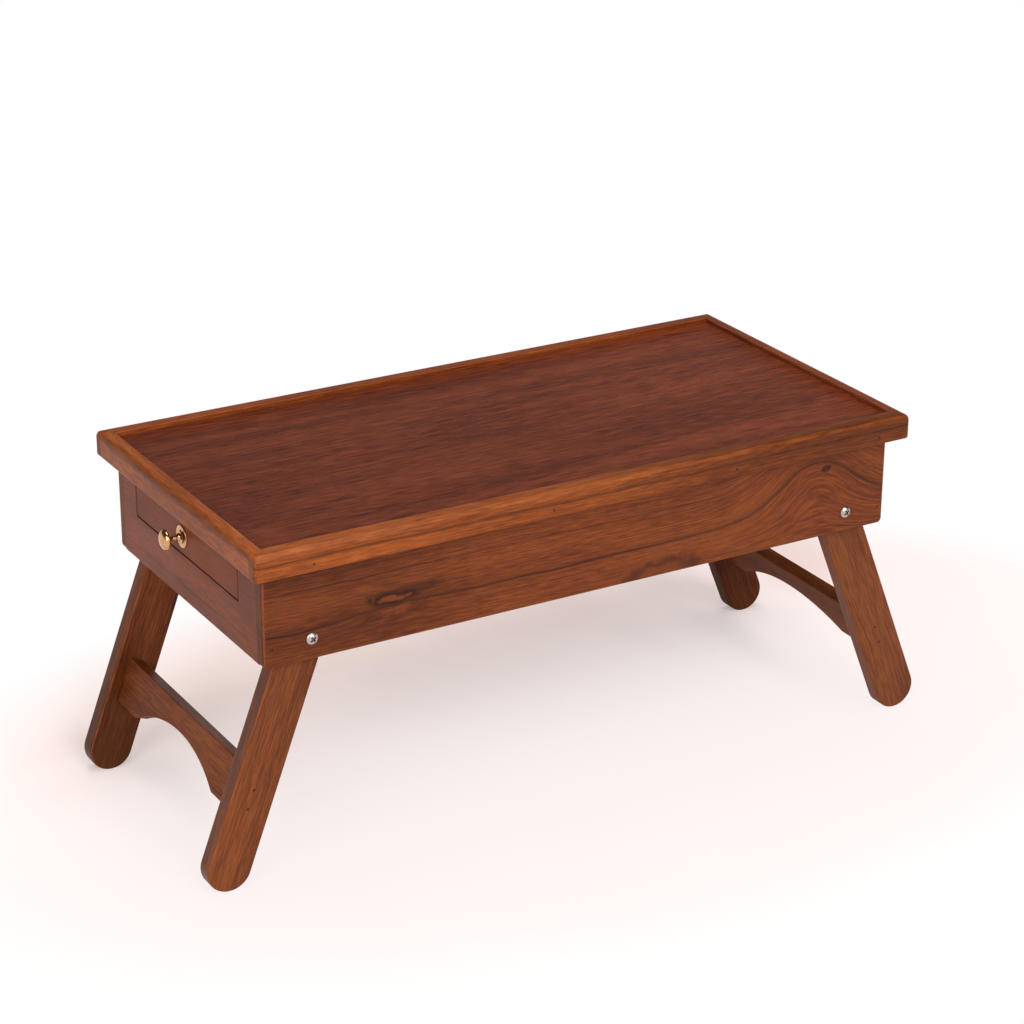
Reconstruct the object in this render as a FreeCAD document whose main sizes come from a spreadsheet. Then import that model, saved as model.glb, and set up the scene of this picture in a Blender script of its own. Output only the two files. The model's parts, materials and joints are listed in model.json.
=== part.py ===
import FreeCAD, Part
import math
import os
import re
import Sketcher

# A wooden lap desk: a shallow tray rim round a box apron, a drawer in the left end,
# and two splayed leg frames that turn on screws and fold up into the box.
# Millimetres. X runs along the desk (the drawer opens towards -X), the near long side
# faces -Y, Z is up. The origin is on the floor, under the middle of the tray.

os.makedirs("parts", exist_ok=True)
doc = FreeCAD.newDocument("lap_desk")
Vector = FreeCAD.Vector

SIZES = {
    # Tray and rim
    "tray_length": 610,
    "tray_width": 305,
    "desk_height": 292,
    "rail_height": 22,
    "long_rail_thickness": 15,
    "end_rail_thickness": 12,
    "rail_housing": 4,
    "rail_top_round": 5.5,
    "rail_bottom_round": 2.5,
    "rail_corner_round": 3.5,
    "rail_inner_round": 0.8,
    "tray_recess": 4,
    "tray_panel_thickness": 6,
    # Box
    "apron_height": 80,
    "side_panel_thickness": 11,
    "side_panel_corner": 4.5,
    "left_end_thickness": 14,
    "right_end_thickness": 12,
    "board_edge_round": 3,
    "divider_thickness": 12,
    "divider_housing": 3,
    # Drawer opening and runners
    "front_cheek": 31.5,
    "back_cheek": 26.5,
    "sill_height": 41,
    "drawer_gap": 1.4,
    "drawer_top_gap": 0.5,
    "runner_clearance": 0.2,
    "runner_washer_gap": 2,
    "runner_leg_gap": 2.5,
    "runner_ledge": 9.5,
    "guide_clearance": 0.5,
    "guide_height": 18,
    # Drawer
    "front_thickness": 12,
    "front_lip": 6,
    "front_edge_round": 0.6,
    "drawer_side_thickness": 8,
    "drawer_side_height": 30,
    "drawer_back_thickness": 8,
    "drawer_bottom_thickness": 4,
    "drawer_back_gap": 3,
    # Knob
    "knob_offset": 6,
    "knob_rise": 15.2,
    "rose_radius": 9.5,
    "rose_thickness": 1.7,
    "rose_edge": 0.8,
    "rose_ring_radius": 7.2,
    "knob_foot_radius": 3.2,
    "knob_foot_clearance": 0.05,
    "knob_boss_radius": 5.4,
    "knob_boss_length": 5.2,
    "knob_stem_radius": 1.7,
    "knob_stem_length": 3.4,
    "knob_neck_radius": 4.6,
    "knob_neck_length": 3.2,
    "knob_disc_radius": 8.7,
    "knob_disc_thickness": 1,
    "knob_disc_edge": 0.3,
    "knob_cap_height": 4.6,
    "knob_screw_radius": 1.75,
    "knob_screw_bite": 4.5,
    "knob_screw_clearance": 0.05,
    "knob_screw_head_radius": 3.6,
    "knob_screw_head_height": 2.2,
    # Legs
    "leg_width": 38,
    "leg_thickness": 16,
    "leg_side_gap": 0.5,
    "leg_edge_round": 2,
    "left_pivot_inset": 41.3,
    "right_pivot_inset": 39.9,
    "pivot_rise": 18,
    "stop_clearance": 0.3,
    "foot_flat": 0.4,
    # Stretchers
    "stretcher_drop": 119.5,
    "stretcher_height": 39,
    "stretcher_thickness": 12.4,
    "left_stretcher_shift": 1.5,
    "right_stretcher_shift": -1,
    "stretcher_edge_round": 1,
    "arch_width": 150,
    "arch_rise": 20,
    # Pivot screws, washers and nuts
    "pivot_screw_radius": 2.5,
    "pivot_clearance": 0.05,
    "screw_head_radius": 5,
    "screw_head_height": 2.8,
    "screw_head_edge": 0.7,
    "recess_length": 5.4,
    "recess_width": 1.2,
    "recess_depth": 1.5,
    "screw_tail": 2,
    "washer_radius": 6,
    "washer_thickness": 1,
    "running_gap": 0.1,
    "nut_flats": 8,
    "nut_thickness": 4,
    # Brads
    "brad_radius": 0.9,
    "brad_clearance": 0.05,
    "brad_sink": 0.3,
    "rim_brad_length": 22,
    "rim_brad_drop": 15,
    "rim_brad_left_inset": 49,
    "rim_brad_left_of_middle": 45,
    "rim_brad_right_of_middle": 129,
    "rim_brad_right_inset": 32,
    "end_rail_brad_inset": 34.5,
    "corner_brad_length": 30,
    "corner_brad_low": 16,
    "corner_brad_high": 9.5,
    "leg_brad_length": 30,
    "leg_brad_high": 13.5,
    "leg_brad_low": 30,
    "drawer_brad_length": 20,
    "drawer_brad_inset": 7,
    "floor_brad_length": 16,
    "floor_brad_inset": 30,
}

# Lengths and places that follow from the sizes above
RULES = {
    "tray_x": "tray_length / 2",
    "tray_y": "tray_width / 2",
    "rim_bottom": "desk_height - rail_height",
    "panel_top": "desk_height - tray_recess",
    "box_x": "tray_x - end_rail_thickness",
    "box_y": "tray_y - long_rail_thickness",
    "box_top": "panel_top - tray_panel_thickness",
    "box_bottom": "rim_bottom - apron_height",
    "inner_y": "box_y - side_panel_thickness",
    "inner_left": "-(box_x - left_end_thickness)",
    "inner_right": "box_x - right_end_thickness",
    "housed_y": "box_y + rail_housing",
    "opening_low": "box_bottom + sill_height",
    # The end panel leaves a cheek at each side of the drawer's opening
    "opening_width": "2 * inner_y - front_cheek - back_cheek",
    "opening_offset": "(front_cheek - back_cheek) / 2",
    "drawer_low": "opening_low + drawer_gap",
    "drawer_high": "rim_bottom - drawer_top_gap",
    "drawer_half": "opening_width / 2 - drawer_gap",
    "drawer_side_low": "drawer_low + drawer_bottom_thickness",
    "drawer_side_high": "drawer_side_low + drawer_side_height",
    "drawer_front_x": "-box_x + front_lip",
    "drawer_back_x": "-divider_thickness / 2 - drawer_back_gap",
    "runner_top": "drawer_low - runner_clearance",
    "runner_bottom": "pivot_z + washer_radius + runner_washer_gap",
    "guide_outer": "leg_inner - runner_leg_gap",
    "knob_y": "opening_offset + knob_offset",
    "knob_z": "drawer_low + knob_rise",
    "pivot_z": "box_bottom + pivot_rise",
    "left_pivot_x": "-(box_x - left_pivot_inset)",
    "right_pivot_x": "box_x - right_pivot_inset",
    "leg_outer": "inner_y - leg_side_gap",
    "leg_inner": "leg_outer - leg_thickness",
    "leg_half": "leg_width / 2",
    # A leg opens until its edge meets the lower inner edge of the end panel
    "left_stop": "left_pivot_inset - left_end_thickness",
    "right_stop": "right_pivot_inset - right_end_thickness",
    "left_splay": "atan2(left_stop; pivot_rise)"
                  " - asin((leg_half + stop_clearance) / hypot(left_stop; pivot_rise))",
    "right_splay": "atan2(right_stop; pivot_rise)"
                   " - asin((leg_half + stop_clearance) / hypot(right_stop; pivot_rise))",
    "foot_drop": "leg_half - foot_flat",
    "left_reach": "(pivot_z - foot_drop) / cos(left_splay)",
    "right_reach": "(pivot_z - foot_drop) / cos(right_splay)",
    "arch_radius": "((arch_width / 2)^2 + arch_rise^2) / (2 * arch_rise)",
    "rim_brad_z": "desk_height - rim_brad_drop",
    "end_rail_brad_y": "tray_y - end_rail_brad_inset",
    "corner_brad_low_z": "box_bottom + corner_brad_low",
    "corner_brad_high_z": "box_top - corner_brad_high",
    "left_corner_brad_x": "-box_x + left_end_thickness / 2",
    "right_corner_brad_x": "box_x - right_end_thickness / 2",
    "brad_hole": "brad_radius + brad_clearance",
    "pivot_hole": "pivot_screw_radius + pivot_clearance",
    "washer_face": "leg_inner - running_gap",
    "nut_face": "washer_face - washer_thickness",
    "screw_length": "box_y - nut_face + nut_thickness + screw_tail",
}

sheet = doc.addObject("Spreadsheet::Sheet", "sizes")
for row, (alias, size) in enumerate(SIZES.items(), start=1):
    sheet.set(f"A{row}", alias)
    sheet.set(f"B{row}", str(size))
    sheet.setAlias(f"B{row}", alias)
doc.recompute()


def bound(text):
    """Spell out an expression: a rule becomes what it stands for, a size its cell."""
    def spell(match):
        word = match.group(0)
        if word in RULES:
            return "(" + bound(RULES[word]) + ")"
        return "sizes." + word if word in SIZES else word
    return re.sub(r"[a-z][a-z_]*", spell, str(text))


def value(text):
    """The number that an expression comes to now."""
    found = sheet.evalExpression(bound(text))
    return float(getattr(found, "Value", found))


# Sketch planes: the two desk axes drawn on, the axis across, and the way it faces
PLANES = {"XY": ("x", "y", "z", 1), "XZ": ("x", "z", "y", -1), "YZ": ("y", "z", "x", 1)}
TOLERANCE = 0.001
nodes = []
cuts = []


def lies_at(edge, **place):
    """Whether every end of an edge has the given coordinates."""
    return all(abs(getattr(end.Point, axis) - at) < TOLERANCE
               for end in edge.Vertexes for axis, at in place.items())


def is_arc(edge):
    return edge.Curve.TypeId == "Part::GeomCircle"


class Piece:
    """One solid piece. Its sketches use desk coordinates; its Placement holds its own corner."""

    def __init__(self, label, x="0", y="0", z="0", tilt=None, node=True):
        self.body = doc.addObject("PartDesign::Body", label)
        self.body.Label = label
        self.corner = {"x": x, "y": y, "z": z}
        if tilt is not None:
            self.body.Placement = FreeCAD.Placement(Vector(), FreeCAD.Rotation(Vector(0, 1, 0), 1))
            self.body.setExpression("Placement.Rotation.Angle", bound(tilt))
            self.local = True
        else:
            self.local = False
        for axis, place in self.corner.items():
            self.body.setExpression(f"Placement.Base.{axis}", bound(place))
        if node:
            nodes.append(self.body)

    def own(self, axis, place):
        """A desk coordinate as the piece's own one; a tilted piece is drawn about its pivot."""
        if self.local or self.corner[axis] == "0":
            return str(place)
        return f"({place}) - ({self.corner[axis]})"

    def at(self, axis, place):
        return value(self.own(axis, place))

    def sketch(self, plane, level):
        across, facing = PLANES[plane][2:]
        sketch = self.body.newObject("Sketcher::SketchObject", "sketch")
        origin = [part for part in self.body.Origin.OriginFeatures if part.Role == plane + "_Plane"]
        sketch.AttachmentSupport = [(origin[0], "")]
        sketch.MapMode = "FlatFace"
        sketch.setExpression("AttachmentOffset.Base.z", bound(f"{facing} * ({self.own(across, level)})"))
        return sketch

    def outline(self, plane, level, corners):
        """A closed outline. A third item in a corner is the radius and side of an arc to the next."""
        sketch = self.sketch(plane, level)
        across, up = PLANES[plane][:2]
        spots = [Vector(self.at(across, c[0]), self.at(up, c[1]), 0) for c in corners]
        starts = []
        for index, corner in enumerate(corners):
            start = spots[index]
            end = spots[(index + 1) % len(spots)]
            if len(corner) == 2:
                sketch.addGeometry(Part.LineSegment(start, end), False)
                starts.append(1)
                continue
            radius, side = value(corner[2]), corner[3]
            chord = end - start
            normal = Vector(-chord.y, chord.x, 0).normalize() * side
            centre = (start + end) * 0.5 - normal * math.sqrt(radius ** 2 - (chord.Length / 2) ** 2)
            angles = [math.atan2((point - centre).y, (point - centre).x) for point in (start, end)]
            forward = (angles[1] - angles[0]) % (2 * math.pi) < math.pi
            first, last = angles if forward else reversed(angles)
            circle = Part.Circle(centre, Vector(0, 0, 1), radius)
            sketch.addGeometry(Part.ArcOfCircle(circle, first, last), False)
            starts.append(1 if forward else 2)
        for index, corner in enumerate(corners):
            before = (index - 1) % len(corners)
            sketch.addConstraint(
                Sketcher.Constraint("Coincident", before, 3 - starts[before], index, starts[index]))
            for kind, axis, place in (("DistanceX", across, corner[0]), ("DistanceY", up, corner[1])):
                self.measure(sketch, kind, index, starts[index], self.own(axis, place))
            if len(corner) > 2:
                self.measure(sketch, "Radius", index, None, corner[2])
        return sketch

    def circles(self, plane, level, centres, radius):
        sketch = self.sketch(plane, level)
        across, up = PLANES[plane][:2]
        for index, (first, second) in enumerate(centres):
            centre = Vector(self.at(across, first), self.at(up, second), 0)
            sketch.addGeometry(Part.Circle(centre, Vector(0, 0, 1), value(radius)), False)
            self.measure(sketch, "DistanceX", index, 3, self.own(across, first))
            self.measure(sketch, "DistanceY", index, 3, self.own(up, second))
            self.measure(sketch, "Radius", index, None, radius)
        return sketch

    @staticmethod
    def measure(sketch, kind, geometry, point, size):
        """A dimension of a sketch, tied to the sheet."""
        where = (geometry,) if point is None else (geometry, point)
        index = sketch.addConstraint(Sketcher.Constraint(kind, *where, value(size)))
        sketch.setExpression(f"Constraints[{index}]", bound(size))

    def pad(self, sketch, plane, length, way):
        """Thicken a sketch by a length, towards +1 or -1 along the axis across its plane."""
        pad = self.body.newObject("PartDesign::Pad", "pad")
        pad.Profile = sketch
        pad.Reversed = way != PLANES[plane][3]
        pad.setExpression("Length", bound(length))
        return pad

    def cut(self, sketch, plane, depth, way):
        """Cut a sketch into the piece by a depth, towards +1 or -1 along the axis across."""
        before = self.body.Tip
        pocket = self.body.newObject("PartDesign::Pocket", "pocket")
        pocket.Profile = sketch
        pocket.Reversed = way == PLANES[plane][3]
        pocket.setExpression("Length", bound(depth))
        cuts.append((self.body.Label, before, pocket))
        return pocket

    def drill(self, plane, level, centres, radius, depth, way):
        return self.cut(self.circles(plane, level, centres, radius), plane, depth, way)

    def turn(self, sketch, axis):
        """Turn a half profile about an axis of its own sketch."""
        turned = self.body.newObject("PartDesign::Revolution", "revolution")
        turned.Profile = sketch
        turned.ReferenceAxis = (sketch, [axis])
        turned.Angle = 360
        return turned

    def round_edges(self, radius, chosen):
        """Round the edges for which chosen(edge) is true, in the piece's own coordinates."""
        doc.recompute()
        base = self.body.Tip
        names = [f"Edge{number}" for number, edge in enumerate(base.Shape.Edges, start=1) if chosen(edge)]
        if not names:
            raise RuntimeError(f"{self.body.Label}: no edge to round")
        fillet = self.body.newObject("PartDesign::Fillet", "fillet")
        fillet.Base = (base, names)
        fillet.setExpression("Radius", bound(radius))
        return fillet


def rectangle(left, right, low, high):
    return [(left, low), (right, low), (right, high), (left, high)]


def place_by_rules(thing, x, y, z):
    for axis, place in (("x", x), ("y", y), ("z", z)):
        thing.setExpression(f"Placement.Base.{axis}", bound(place))


def group(label, members):
    """Identical small pieces that share one node as separate solids."""
    compound = doc.addObject("Part::Compound", label)
    compound.Label = label
    compound.Links = members
    nodes.append(compound)
    return compound


def copies(label, master, places):
    """Copies of one fitting: each place is x, y, z and a turn about Z in degrees."""
    links = []
    for number, (x, y, z, turn) in enumerate(places, start=1):
        link = doc.addObject("App::Link", f"{label}_{number}")
        link.LinkedObject = master.body
        link.Placement = FreeCAD.Placement(Vector(), FreeCAD.Rotation(Vector(0, 0, 1), turn))
        place_by_rules(link, x, y, z)
        links.append(link)
    return group(label, links)


def brad(name, entry, way, length):
    """A headless nail, driven from its entry point and sunk a little below the surface."""
    pin = doc.addObject("Part::Cylinder", name)
    pin.setExpression("Radius", bound("brad_radius"))
    pin.setExpression("Height", bound(f"{length} - brad_sink"))
    pin.Placement = FreeCAD.Placement(Vector(), FreeCAD.Rotation(Vector(0, 0, 1), Vector(*way)))
    place_by_rules(pin, *(f"{place} + ({step}) * brad_sink" for place, step in zip(entry, way)))
    return pin


# Each side of the desk: front is -Y, back is +Y
SIDES = (("front", -1), ("back", 1))
# Each end: left is -X, right is +X
ENDS = (("left", -1), ("right", 1))

LONG_RAIL_BRADS = [
    "-(tray_x - rim_brad_left_inset)",
    "-rim_brad_left_of_middle",
    "rim_brad_right_of_middle",
    "tray_x - rim_brad_right_inset",
]
CORNER_BRAD_HEIGHTS = ["corner_brad_low_z", "corner_brad_high_z"]


def tray_panel():
    panel = Piece("tray_panel", z="box_top")
    edge = panel.outline("XY", "box_top", rectangle("-box_x", "box_x", "-box_y", "box_y"))
    panel.pad(edge, "XY", "tray_panel_thickness", 1)


def long_rail(name, side):
    """A rail along the tray. Its ends are cut back inside, to house the end rails."""
    rail = Piece(f"rim_rail_{name}", y=f"{side} * box_y", z="rim_bottom")
    outer, inner, housed = (f"{side} * {place}" for place in ("tray_y", "box_y", "housed_y"))
    plan = rail.outline("XY", "rim_bottom", [
        ("-tray_x", outer), ("tray_x", outer), ("tray_x", housed), ("box_x", housed),
        ("box_x", inner), ("-box_x", inner), ("-box_x", housed), ("-tray_x", housed)])
    rail.pad(plan, "XY", "rail_height", 1)
    end, face, top = value("tray_x"), rail.at("y", outer), value("rail_height")
    rail.round_edges("rail_corner_round", lambda edge: lies_at(edge, y=face)
                     and (lies_at(edge, x=end) or lies_at(edge, x=-end)))

    def outer_edge(edge):
        return lies_at(edge, x=end) or lies_at(edge, x=-end) or lies_at(edge, y=face) or is_arc(edge)
    rail.round_edges("rail_top_round", lambda edge: lies_at(edge, z=top) and outer_edge(edge))
    rail.round_edges("rail_bottom_round", lambda edge: lies_at(edge, z=0) and outer_edge(edge))
    rail.round_edges("rail_inner_round", lambda edge: lies_at(edge, z=top, y=rail.at("y", inner)))
    rail.drill("XZ", outer, [(x, "rim_brad_z") for x in LONG_RAIL_BRADS],
               "brad_hole", "long_rail_thickness", -side)


def end_rail(name, side):
    rail = Piece(f"rim_rail_{name}", x=f"{side} * box_x", z="rim_bottom")
    outer, inner = f"{side} * tray_x", f"{side} * box_x"
    plan = rail.outline("XY", "rim_bottom", rectangle(inner, outer, "-housed_y", "housed_y"))
    rail.pad(plan, "XY", "rail_height", 1)
    face, top = rail.at("x", outer), value("rail_height")
    rail.round_edges("rail_top_round", lambda edge: lies_at(edge, x=face, z=top))
    rail.round_edges("rail_bottom_round", lambda edge: lies_at(edge, x=face, z=0))
    rail.round_edges("rail_inner_round", lambda edge: lies_at(edge, x=0, z=top))
    rail.drill("YZ", outer, [("-end_rail_brad_y", "rim_brad_z"), ("end_rail_brad_y", "rim_brad_z")],
               "brad_hole", "end_rail_thickness", -side)


def side_panel(name, side):
    """A long board of the box. It laps the end panels, and its lower corners are rounded."""
    panel = Piece(f"side_panel_{name}", y=f"{side} * box_y")
    outer, inner = f"{side} * box_y", f"{side} * inner_y"
    face = panel.outline("XZ", outer, rectangle("-box_x", "box_x", "box_bottom", "box_top"))
    panel.pad(face, "XZ", "side_panel_thickness", -side)
    end, low, high = value("box_x"), value("box_bottom"), value("box_top")
    panel.round_edges("side_panel_corner", lambda edge: lies_at(edge, z=low)
                      and (lies_at(edge, x=end) or lies_at(edge, x=-end)))
    panel.round_edges("board_edge_round", lambda edge: lies_at(edge, y=0) and not lies_at(edge, z=high))
    groove = panel.outline("XZ", inner, rectangle(
        "-divider_thickness / 2", "divider_thickness / 2", "box_bottom", "box_top"))
    panel.cut(groove, "XZ", "divider_housing", side)
    panel.drill("XZ", outer, [("left_pivot_x", "pivot_z"), ("right_pivot_x", "pivot_z")],
                "pivot_hole", "side_panel_thickness", -side)
    panel.drill("XZ", outer, [(x, z) for x in ("left_corner_brad_x", "right_corner_brad_x")
                              for z in CORNER_BRAD_HEIGHTS],
                "brad_hole", "side_panel_thickness", -side)
    panel.drill("XZ", outer, [(x, "rim_brad_z") for x in LONG_RAIL_BRADS],
                "brad_hole", "rim_brad_length - long_rail_thickness", -side)


def end_panel(name, side, thickness, brad_x, shape):
    """An end board between the long boards; the drawer's opening is cut into the left one."""
    panel = Piece(f"end_panel_{name}", x=f"{side} * box_x")
    outer = f"{side} * box_x"
    panel.pad(panel.outline("YZ", outer, shape), "YZ", thickness, -side)
    panel.round_edges("board_edge_round", lambda edge: lies_at(edge, x=0, z=value("box_bottom")))
    panel.drill("YZ", outer, [("-end_rail_brad_y", "rim_brad_z"), ("end_rail_brad_y", "rim_brad_z")],
                "brad_hole", "rim_brad_length - end_rail_thickness", -side)
    for long_side in (-1, 1):
        panel.drill("XZ", f"{long_side} * inner_y", [(brad_x, z) for z in CORNER_BRAD_HEIGHTS],
                    "brad_hole", "corner_brad_length - side_panel_thickness", -long_side)


def centre_divider():
    """A board across the box that closes the drawer's bay and carries the runners' ends."""
    divider = Piece("centre_divider", x="-divider_thickness / 2")
    face = divider.outline("YZ", "-divider_thickness / 2", rectangle(
        "-(inner_y + divider_housing)", "inner_y + divider_housing", "box_bottom", "box_top"))
    divider.pad(face, "YZ", "divider_thickness", 1)


def drawer_runner(name, side):
    """A batten with a ledge under the drawer's side and a guide beside it."""
    runner = Piece(f"drawer_runner_{name}", x="inner_left")
    ledge, inner = (f"opening_offset + {side} * ({place})" for place in (
        "drawer_half - runner_ledge", "drawer_half + guide_clearance"))
    outer = f"{side} * guide_outer"
    section = runner.outline("YZ", "inner_left", [
        (ledge, "runner_bottom"), (outer, "runner_bottom"), (outer, "runner_top + guide_height"),
        (inner, "runner_top + guide_height"), (inner, "runner_top"), (ledge, "runner_top")])
    runner.pad(section, "YZ", "-divider_thickness / 2 - inner_left", 1)


def drawer_edge(side, inset="0"):
    return f"opening_offset + {side} * (drawer_half - ({inset}))"


def drawer_front():
    """The drawer's face, rebated behind for the sides and the bottom."""
    front = Piece("drawer_front", x="-box_x")
    back = "-box_x + front_thickness"
    face = front.outline("YZ", "-box_x", rectangle(
        drawer_edge(-1), drawer_edge(1), "drawer_low", "drawer_high"))
    front.pad(face, "YZ", "front_thickness", 1)
    front.round_edges("front_edge_round", lambda edge: lies_at(edge, x=0))
    left, right = drawer_edge(-1), drawer_edge(1)
    left_in, right_in = (drawer_edge(side, "drawer_side_thickness") for side in (-1, 1))
    rebate = front.outline("YZ", back, [
        (left, "drawer_high"), (left, "drawer_low"), (right, "drawer_low"), (right, "drawer_high"),
        (right_in, "drawer_high"), (right_in, "drawer_side_low"),
        (left_in, "drawer_side_low"), (left_in, "drawer_high")])
    front.cut(rebate, "YZ", "front_thickness - front_lip", -1)
    front.drill("YZ", "-box_x", [("knob_y", "knob_z")],
                "knob_screw_radius + knob_screw_clearance", "front_thickness", 1)
    for side in (-1, 1):
        front.drill("XZ", drawer_edge(side, "drawer_side_thickness"),
                    [(FRONT_BRAD_X, z) for z in DRAWER_BRAD_HEIGHTS],
                    "brad_hole", "drawer_brad_length - drawer_side_thickness", -side)


FRONT_BRAD_X = "-box_x + (front_lip + front_thickness) / 2"
BACK_BRAD_X = "drawer_back_x - drawer_back_thickness / 2"
DRAWER_BRAD_HEIGHTS = ["drawer_side_low + drawer_brad_inset", "drawer_side_high - drawer_brad_inset"]
FLOOR_BRADS_X = ["drawer_front_x + floor_brad_inset", "(drawer_front_x + drawer_back_x) / 2",
                 "drawer_back_x - floor_brad_inset"]


def drawer_side(name, side):
    board = Piece(f"drawer_side_{name}", y=drawer_edge(side))
    face = board.outline("XZ", drawer_edge(side), rectangle(
        "drawer_front_x", "drawer_back_x", "drawer_side_low", "drawer_side_high"))
    board.pad(face, "XZ", "drawer_side_thickness", -side)
    board.drill("XZ", drawer_edge(side),
                [(x, z) for x in (FRONT_BRAD_X, BACK_BRAD_X) for z in DRAWER_BRAD_HEIGHTS],
                "brad_hole", "drawer_side_thickness", -side)
    board.drill("XY", "drawer_side_low",
                [(x, drawer_edge(side, "drawer_side_thickness / 2")) for x in FLOOR_BRADS_X],
                "brad_hole", "floor_brad_length - drawer_bottom_thickness", 1)


def drawer_back():
    board = Piece("drawer_back", x="drawer_back_x")
    left, right = (drawer_edge(side, "drawer_side_thickness") for side in (-1, 1))
    face = board.outline("YZ", "drawer_back_x", rectangle(
        left, right, "drawer_side_low", "drawer_side_high"))
    board.pad(face, "YZ", "drawer_back_thickness", -1)
    for side in (-1, 1):
        board.drill("XZ", drawer_edge(side, "drawer_side_thickness"),
                    [(BACK_BRAD_X, z) for z in DRAWER_BRAD_HEIGHTS],
                    "brad_hole", "drawer_brad_length - drawer_side_thickness", -side)


def drawer_bottom():
    board = Piece("drawer_bottom", z="drawer_low")
    plan = board.outline("XY", "drawer_low", rectangle(
        "drawer_front_x", "drawer_back_x", drawer_edge(-1), drawer_edge(1)))
    board.pad(plan, "XY", "drawer_bottom_thickness", 1)
    board.drill("XY", "drawer_low",
                [(x, drawer_edge(side, "drawer_side_thickness / 2"))
                 for side in (-1, 1) for x in FLOOR_BRADS_X],
                "brad_hole", "drawer_bottom_thickness", 1)


def knob_rose():
    """The thin brass plate under the knob, with a raised ring round its middle."""
    rose = Piece("knob_rose", x="-box_x", y="knob_y", z="knob_z", tilt="0")
    hole = "knob_foot_radius + knob_foot_clearance"
    profile = rose.outline("XZ", "0", [
        ("0", hole), ("0", "rose_radius"), ("-rose_edge", "rose_radius"),
        ("-rose_thickness", "rose_ring_radius"), ("-rose_thickness", hole)])
    rose.turn(profile, "H_Axis")


def knob():
    """The turned brass knob: boss, thin stem, flared neck and a disc with a domed face."""
    turned = Piece("knob", x="-box_x", y="knob_y", z="knob_z", tilt="0")
    stem = "rose_thickness + knob_boss_length"
    neck = f"{stem} + knob_stem_length"
    disc = f"{neck} + knob_neck_length"
    face = f"{disc} + knob_disc_thickness"
    tip = f"{face} + knob_cap_height"
    cap_radius = "(knob_disc_radius - 2 * knob_disc_edge)"
    profile = turned.outline("XZ", "0", [
        ("-knob_screw_bite", "0"),
        ("-knob_screw_bite", "knob_screw_radius + knob_screw_clearance"),
        ("0", "knob_screw_radius + knob_screw_clearance"),
        ("0", "knob_foot_radius"),
        ("-rose_thickness", "knob_foot_radius"),
        ("-rose_thickness", "knob_boss_radius", "knob_boss_length + knob_stem_radius", 1),
        (f"-({stem})", "knob_stem_radius"),
        (f"-({neck})", "knob_stem_radius", "knob_neck_length + knob_stem_radius", 1),
        (f"-({disc})", "knob_neck_radius"),
        (f"-({disc})", "knob_disc_radius - knob_disc_edge"),
        (f"-({disc} + knob_disc_edge)", "knob_disc_radius"),
        (f"-({face} - knob_disc_edge)", "knob_disc_radius"),
        (f"-({face})", cap_radius, f"({cap_radius}^2 + knob_cap_height^2) / (2 * knob_cap_height)", -1),
        (f"-({tip})", "0")])
    turned.turn(profile, "H_Axis")


def knob_screw():
    """The screw through the drawer's front that holds the knob, headed inside the drawer."""
    screw = Piece("knob_screw", x="-box_x", y="knob_y", z="knob_z", tilt="0")
    end = "knob_screw_bite - running_gap"
    profile = screw.outline("XZ", "0", [
        (f"-({end})", "0"), (f"-({end})", "knob_screw_radius"),
        ("front_thickness", "knob_screw_radius"), ("front_thickness", "knob_screw_head_radius"),
        ("front_thickness + knob_screw_head_height", "knob_screw_head_radius / 2"),
        ("front_thickness + knob_screw_head_height", "0")])
    screw.turn(profile, "H_Axis")


LEG_BRAD_DROPS = ["stretcher_drop + leg_brad_high", "stretcher_drop + leg_brad_low"]


def leg(end, outward, name, side):
    """A leg drawn about its pivot, hanging straight down, then tilted out by its splay."""
    reach, splay = f"{end}_reach", f"{end}_splay"
    board = Piece(f"leg_{name}_{end}", x=f"{end}_pivot_x", z="pivot_z", tilt=f"{-outward} * {splay}")
    outer = f"{side} * leg_outer"
    sketch = board.sketch("XZ", outer)
    half, length = value("leg_half"), value(reach)
    up, foot = Vector(), Vector(0, -length, 0)
    facing = Vector(0, 0, 1)
    sketch.addGeometry([
        Part.ArcOfCircle(Part.Circle(up, facing, half), 0, math.pi),
        Part.ArcOfCircle(Part.Circle(foot, facing, half), math.pi, 2 * math.pi),
        Part.LineSegment(Vector(-half, 0, 0), Vector(-half, -length, 0)),
        Part.LineSegment(Vector(half, -length, 0), Vector(half, 0, 0))], False)
    for joint in ((0, 2, 2, 1), (2, 2, 1, 1), (1, 2, 3, 1), (3, 2, 0, 1)):
        sketch.addConstraint(Sketcher.Constraint("Tangent", *joint))
    sketch.addConstraint(Sketcher.Constraint("Equal", 0, 1))
    for kind, curve, size in (("DistanceX", 0, "0"), ("DistanceY", 0, "0"),
                              ("DistanceX", 1, "0"), ("DistanceY", 1, f"-{reach}")):
        board.measure(sketch, kind, curve, 3, size)
    board.measure(sketch, "Radius", 0, None, "leg_half")
    board.pad(sketch, "XZ", "leg_thickness", -side)
    board.round_edges("leg_edge_round", lambda edge: lies_at(edge, y=side * value("leg_outer"))
                      or lies_at(edge, y=side * value("leg_inner")))
    board.drill("XZ", outer, [("0", "0")], "pivot_hole", "leg_thickness", -side)
    board.drill("XZ", outer, [(f"{outward} * {end}_stretcher_shift", f"-({drop})") for drop in LEG_BRAD_DROPS],
                "brad_hole", "leg_thickness", -side)
    # The foot is cut flat where it stands: the floor is a slanting line in the leg's own frame
    corners = []
    for along, below in (("-leg_width", "0"), ("leg_width", "0"), ("leg_width", "leg_half"),
                         ("-leg_width", "leg_half")):
        drop = f"(foot_drop + {below})"
        corners.append((f"{-outward} * (({along}) * cos({splay}) + {drop} * sin({splay}))",
                        f"-{reach} + ({along}) * sin({splay}) - {drop} * cos({splay})"))
    board.cut(board.outline("XZ", outer, corners), "XZ", "leg_thickness", -side)


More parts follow.
